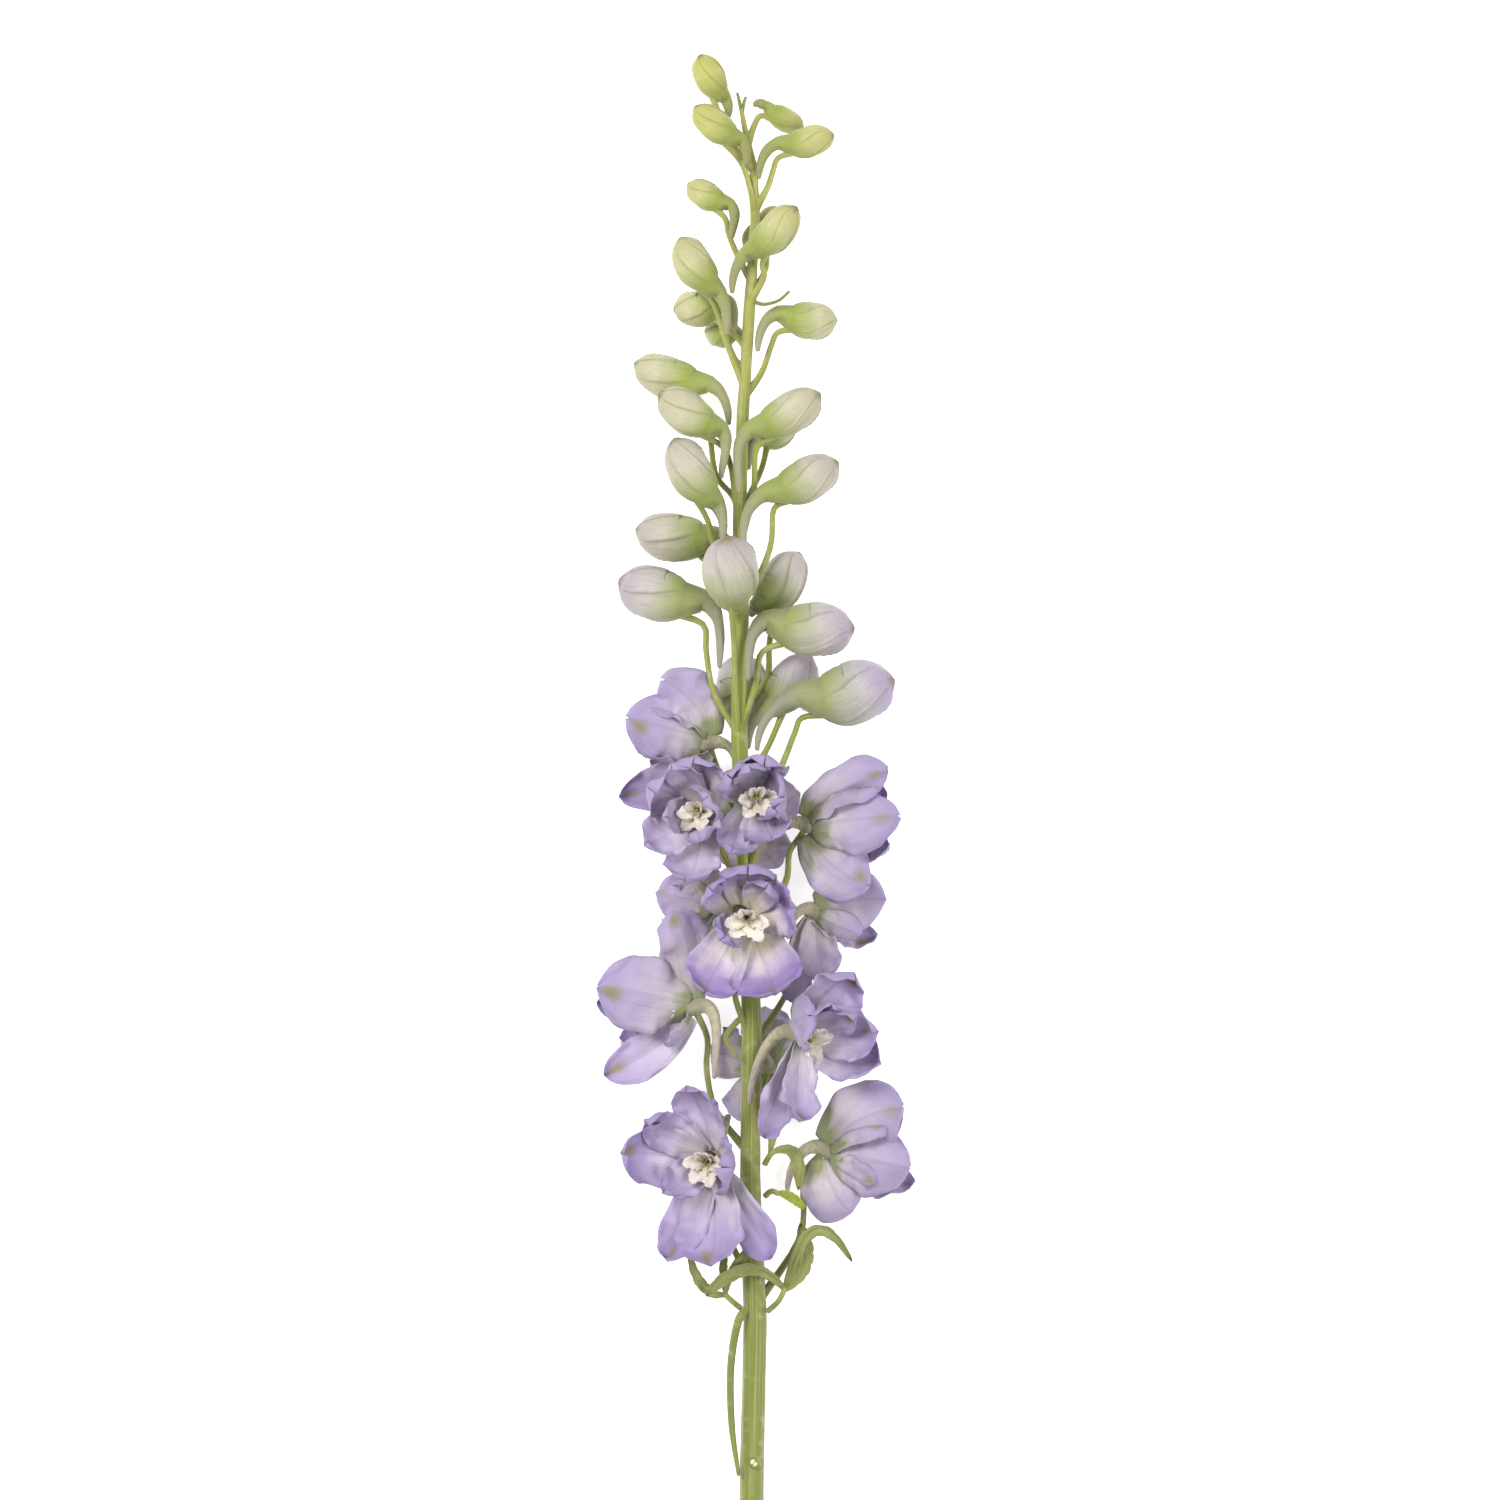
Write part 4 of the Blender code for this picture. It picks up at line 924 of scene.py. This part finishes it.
def make_bloom(index, bloom, materials):
    """Spur, outer sepals and inner sepals of one bloom."""
    base = place(bloom["base"])
    axis = Vector(bloom["axis"]).normalized()
    up = upward(axis)
    sheet = Sheet()
    end = place(bloom["spur"])
    start = base + axis * 1.5
    reach = (end - start).length
    first = start - axis * (reach * 0.5) + up * (reach * 0.25)
    second = end + Vector((0.0, reach * 0.4, 0.0))
    path = [base + axis * 2.4]
    path += [bezier(start, first, second, end, i / SPUR_RINGS) for i in range(SPUR_RINGS + 1)]
    add_tube(sheet, path, lambda t: blend(SPUR_PROFILE, t), SPUR_SIDES, 2,
             shape=lambda a, t: 1.0 + 0.09 * rough(a * 1.5, t * 14.0, index * 2.0))
    for number, entry in enumerate(bloom["outer"]):
        sheet.petal = float(index * 12 + number)
        add_sepal(sheet, base, axis, bloom["cup"], entry, number, index * 5.3)
    for number, entry in enumerate(bloom["inner"]):
        sheet.petal = float(index * 12 + 6 + number)
        add_sepal(sheet, base + axis * 0.8, axis, bloom["cup"], entry, number, index * 3.9 + 40.0)
    sheet.rest_on_floor()
    to_object(sheet, materials, "bloom_" + bloom["name"] + "_sepals")


def make_bee(index, bloom, materials):
    """Frilled cream lobes below, two hooded ones above, hairs, stamens and the throat between, a dark tube
    of painted shade.
    """
    rng = random.Random(SEED + index)
    base = place(bloom["base"])
    axis = Vector(bloom["axis"]).normalized()
    foot = base + axis * 3.4
    up = upward(axis)
    side = axis.cross(up)
    size = bloom["bee"]
    throat_x, throat_y, throat_wide = THROATS.get(bloom["name"], PLAIN_THROAT)
    sheet = Sheet()

    def outward(degrees):
        angle = math.radians(degrees)
        return up * math.cos(angle) + side * math.sin(angle)

    for i, (degrees, low, high, spread, wide) in enumerate(BEE_LOBES):
        out = outward(degrees + rng.uniform(-12.0, 12.0))
        rise = rng.uniform(low, high)
        tip = foot + axis * size * rise + out * size * spread * rng.uniform(0.85, 1.0)
        bend = foot + axis * size * rise * 0.8 + out * size * 0.1
        add_blade(sheet, foot + out * 0.3, bend, tip, size * wide * rng.uniform(0.9, 1.1), axis - out * 0.4,
                  index * 1.9 + i * 2.3, BEE_STYLE, (0, 0))
    for _ in range(BEE_HAIRS):
        out = outward(180.0 + rng.uniform(-95.0, 95.0))
        low = foot + out * rng.uniform(0.4, 1.2) + axis * size * rng.uniform(0.2, 0.5)
        top = low + axis * rng.uniform(1.0, 2.0) + out * rng.uniform(0.2, 1.2)
        hair = [low, low.lerp(top, 0.5) + side * rng.uniform(-0.3, 0.3), top]
        add_tube(sheet, hair, lambda t: 0.12 - 0.08 * t, 5, 0, (0.5, 1.0))
    middle = foot + side * throat_x + up * throat_y
    for i in range(BEE_STAMENS):
        out = outward(51.4 * i)
        top = middle + axis * size * rng.uniform(0.3, 0.5) + out * rng.uniform(0.2, 0.7)
        line = [middle.lerp(top, t) + out * (math.sin(t * 3.0) * 0.2) for t in (0.0, 0.35, 0.7, 1.0)]
        add_tube(sheet, line, lambda t: 0.13, 6, 1)
        knob = [top + axis * d for d in (-0.25, 0.0, 0.25)]
        add_tube(sheet, knob, lambda t: 0.15 + 0.15 * math.sin(math.pi * t), 8, 1)
    # The throat is a dark tube painted as the shade in the hole between the lobes.
    throat = [middle + axis * d for d in (-0.4, 0.1, size * 0.3)]
    add_tube(sheet, throat, lambda t: throat_wide * (1.0 - 0.3 * t), 14, 2,
             shape=lambda a, t: 1.0 + 0.35 * rough(math.cos(a), math.sin(a), index * 1.7))
    to_object(sheet, materials, "bloom_" + bloom["name"] + "_bee")


def make_leaf(index, entry, materials):
    """Short stalk with its leaflets."""
    sheet = Sheet()
    stalk = smooth_path([place(p) for p in entry["stalk"]], 12)
    add_tube(sheet, stalk, lambda t: 0.85 - 0.1 * t, 12, 1)
    for number, (base, bend, tip, width, face) in enumerate(entry["blades"]):
        add_blade(sheet, place(base), place(bend), place(tip), width, Vector(face), index * 4.1 + number,
                  LEAF_STYLE, (0, 0))
    to_object(sheet, materials, entry["name"])


def carried_feet():
    """Root y, waypoints and foot of the side stalk of every bud and bloom."""
    feet = []
    for _, root_y, base, tip, width, _, via in BUDS:
        start = place(base)
        axis = (place(tip) - start).normalized()
        feet.append((root_y, via, start - upward(axis) * (width * 0.2) + axis * 2.0))
    for bloom in BLOOMS:
        feet.append((bloom["root"], bloom["via"], place(bloom["base"])))
    return feet


def add_scar(sheet):
    """Low rim and pale heart where a shoot was cut off."""
    top = root_at(SCAR_Y) + Vector((0.4, 0.0, axis_at(SCAR_Y)[1]))
    rim = [top + Vector((0.0, 0.0, d)) for d in (-1.0, 0.1, 0.3)]
    add_tube(sheet, rim, lambda t: 1.6 - 0.3 * t, 18, 0, (0.2, 0.3),
             lambda a, t: 1.0 + 0.35 * abs(math.sin(a)))
    heart = [top + Vector((0.0, 0.0, d)) for d in (-0.5, 0.4, 0.5)]
    add_tube(sheet, heart, lambda t: 0.8, 14, 1, shape=lambda a, t: 1.0 + 0.4 * abs(math.sin(a)))


def make_stem(materials):
    """Ribbed stem with its cut end, scar, side stalks and thin growths."""
    sheet = Sheet()
    low = STEM[0][1]
    high = STEM[-1][1]
    path = [root_at(low + (high - low) * i / STEM_RINGS) for i in range(STEM_RINGS + 1)]

    def radius(t):
        return axis_at(low + (high - low) * t)[1]

    def ribs(angle, t):
        fine = 0.018 * math.cos(angle * 11.0 + t * 6.0)
        return 1.0 + fine + 0.04 * rough(math.cos(angle), math.sin(angle), t * 60.0)

    add_tube(sheet, path, radius, STEM_SIDES, 0, shape=ribs, cut=1)
    add_scar(sheet)
    for number, (root_y, via, foot) in enumerate(carried_feet()):
        root = root_at(root_y)
        middle = [place(p) for p in reversed(via)] or [root.lerp(foot, 0.5) + Vector((0.0, -1.5, 0.0))]
        line = smooth_path([root] + middle + [foot], PEDICEL_RINGS)
        v = min(max((root_y - low) / STEM_LONG, 0.0), 1.0)
        add_tube(sheet, line, lambda t: blend(PEDICEL_PROFILE, t), PEDICEL_SIDES, 0, (v, min(v + 0.05, 1.0)),
                 lambda a, t: 1.0 + 0.04 * rough(a, t * 9.0, number))
    for points, thin in TWIGS:
        line = smooth_path([place(p) for p in points], TWIG_RINGS)
        add_tube(sheet, line, lambda t: blend(thin, t), PEDICEL_SIDES, 0, (0.3, 0.4))
    sheet.rest_on_floor()
    to_object(sheet, materials, "stem")


# Lights, floor and camera

def make_floor():
    """White light table under the plant."""
    mesh = bpy.data.meshes.new("table_top")
    s = FLOOR_HALF
    corners = [(x, y, FLOOR_TOP) for x, y in ((-s, -s), (s, -s), (s, s), (-s, s))]
    mesh.from_pydata(corners, [], [(0, 1, 2, 3)])
    obj = bpy.data.objects.new("table_top", mesh)
    link(obj)
    paint = Paint("light_table")
    paint.finish((0.95, 0.95, 0.95), roughness=0.9)
    paint.shader.inputs["Emission Color"].default_value = WHITE
    paint.shader.inputs["Emission Strength"].default_value = TABLE_LIGHT
    mesh.materials.append(paint.material)


def add_lamp(name, place_at, power):
    """Round lamp that points at the origin."""
    data = bpy.data.lights.new(name, "AREA")
    data.shape = "DISK"
    data.size = LAMP_SIZE
    data.energy = power
    obj = bpy.data.objects.new(name, data)
    obj.location = place_at
    obj.rotation_euler = (-Vector(place_at)).to_track_quat("-Z", "Y").to_euler()
    link(obj)


def make_world():
    world = bpy.data.worlds.new("white_room")
    world.use_nodes = True
    world.node_tree.nodes["Background"].inputs[0].default_value = WHITE
    world.node_tree.nodes["Background"].inputs[1].default_value = ROOM_LIGHT
    bpy.context.scene.world = world


def make_camera():
    data = bpy.data.cameras.new("camera")
    data.sensor_width = SENSOR
    data.lens = SENSOR * (CAMERA_HEIGHT - PLANT_HEIGHT) / FIELD_WIDTH
    obj = bpy.data.objects.new("camera", data)
    obj.location = (-MIDDLE_X * MM, -MIDDLE_Y * MM, CAMERA_HEIGHT)
    link(obj)
    bpy.context.scene.camera = obj


def make_blooms():
    """All blooms and their bees, each bloom with its own tone."""
    bee = bee_material()
    stamen = grain_material("stamen_green", ((0.35, srgb(150, 156, 74)), (0.65, srgb(196, 196, 120))),
                            1800.0, 0.0002, 0.6)
    # Painted shade: the dark brown throat stands in for the shade in the hole of each bee.
    dark = grain_material("throat_shade", ((0.35, srgb(50, 38, 32)), (0.65, srgb(92, 74, 52))),
                          1500.0, 0.0002, 0.6)
    for number, bloom in enumerate(BLOOMS, start=1):
        name = "bloom_" + bloom["name"]
        tone = blend_looks(LAVENDER, PALE, (number * 0.37) % 1.0)
        if bloom["name"] == CREAM_LIP:
            tone = blend_looks(LAVENDER, DEEP, 0.8)
        front = sepal_material(name + "_inside", tone, FOOT_INSIDE, number * 2.1)
        outside = blend_looks(BACK, tone, 0.2)
        behind = sepal_material(name + "_outside", outside, FOOT_OUTSIDE, number * 3.7)
        spur = spur_material(name + "_spur", srgb(180, 174, 142), srgb(164, 150, 148), number)
        make_bloom(number, bloom, [front, behind, spur])
        make_bee(number, bloom, [bee, stamen, dark])


def build():
    for number, entry in enumerate(BUDS, start=1):
        make_bud(number, entry, bud_material("bud_" + entry[0] + "_skin", bud_looks(number), number))
    make_blooms()
    green = leaf_material("leaf_green", srgb(134, 142, 76), srgb(172, 174, 112), 3.0, 0.3)
    bright = leaf_material("leaf_bright", srgb(146, 160, 56), srgb(184, 190, 84), 5.0, 0.4)
    stalk = stem_material()
    for number, entry in enumerate(LEAVES, start=1):
        make_leaf(number, entry, [bright if entry["name"] == BRIGHT_LEAF else green, stalk])
    pith = grain_material("cut_pith", ((0.3, srgb(196, 202, 150)), (0.7, srgb(226, 226, 190))),
                          1500.0, 0.0003, 0.7)
    make_stem([stalk, pith])
    make_floor()
    make_world()
    for name, place_at, power in LAMPS:
        add_lamp(name, place_at, power)
    make_camera()
    bpy.context.scene.view_settings.view_transform = "Standard"


build()
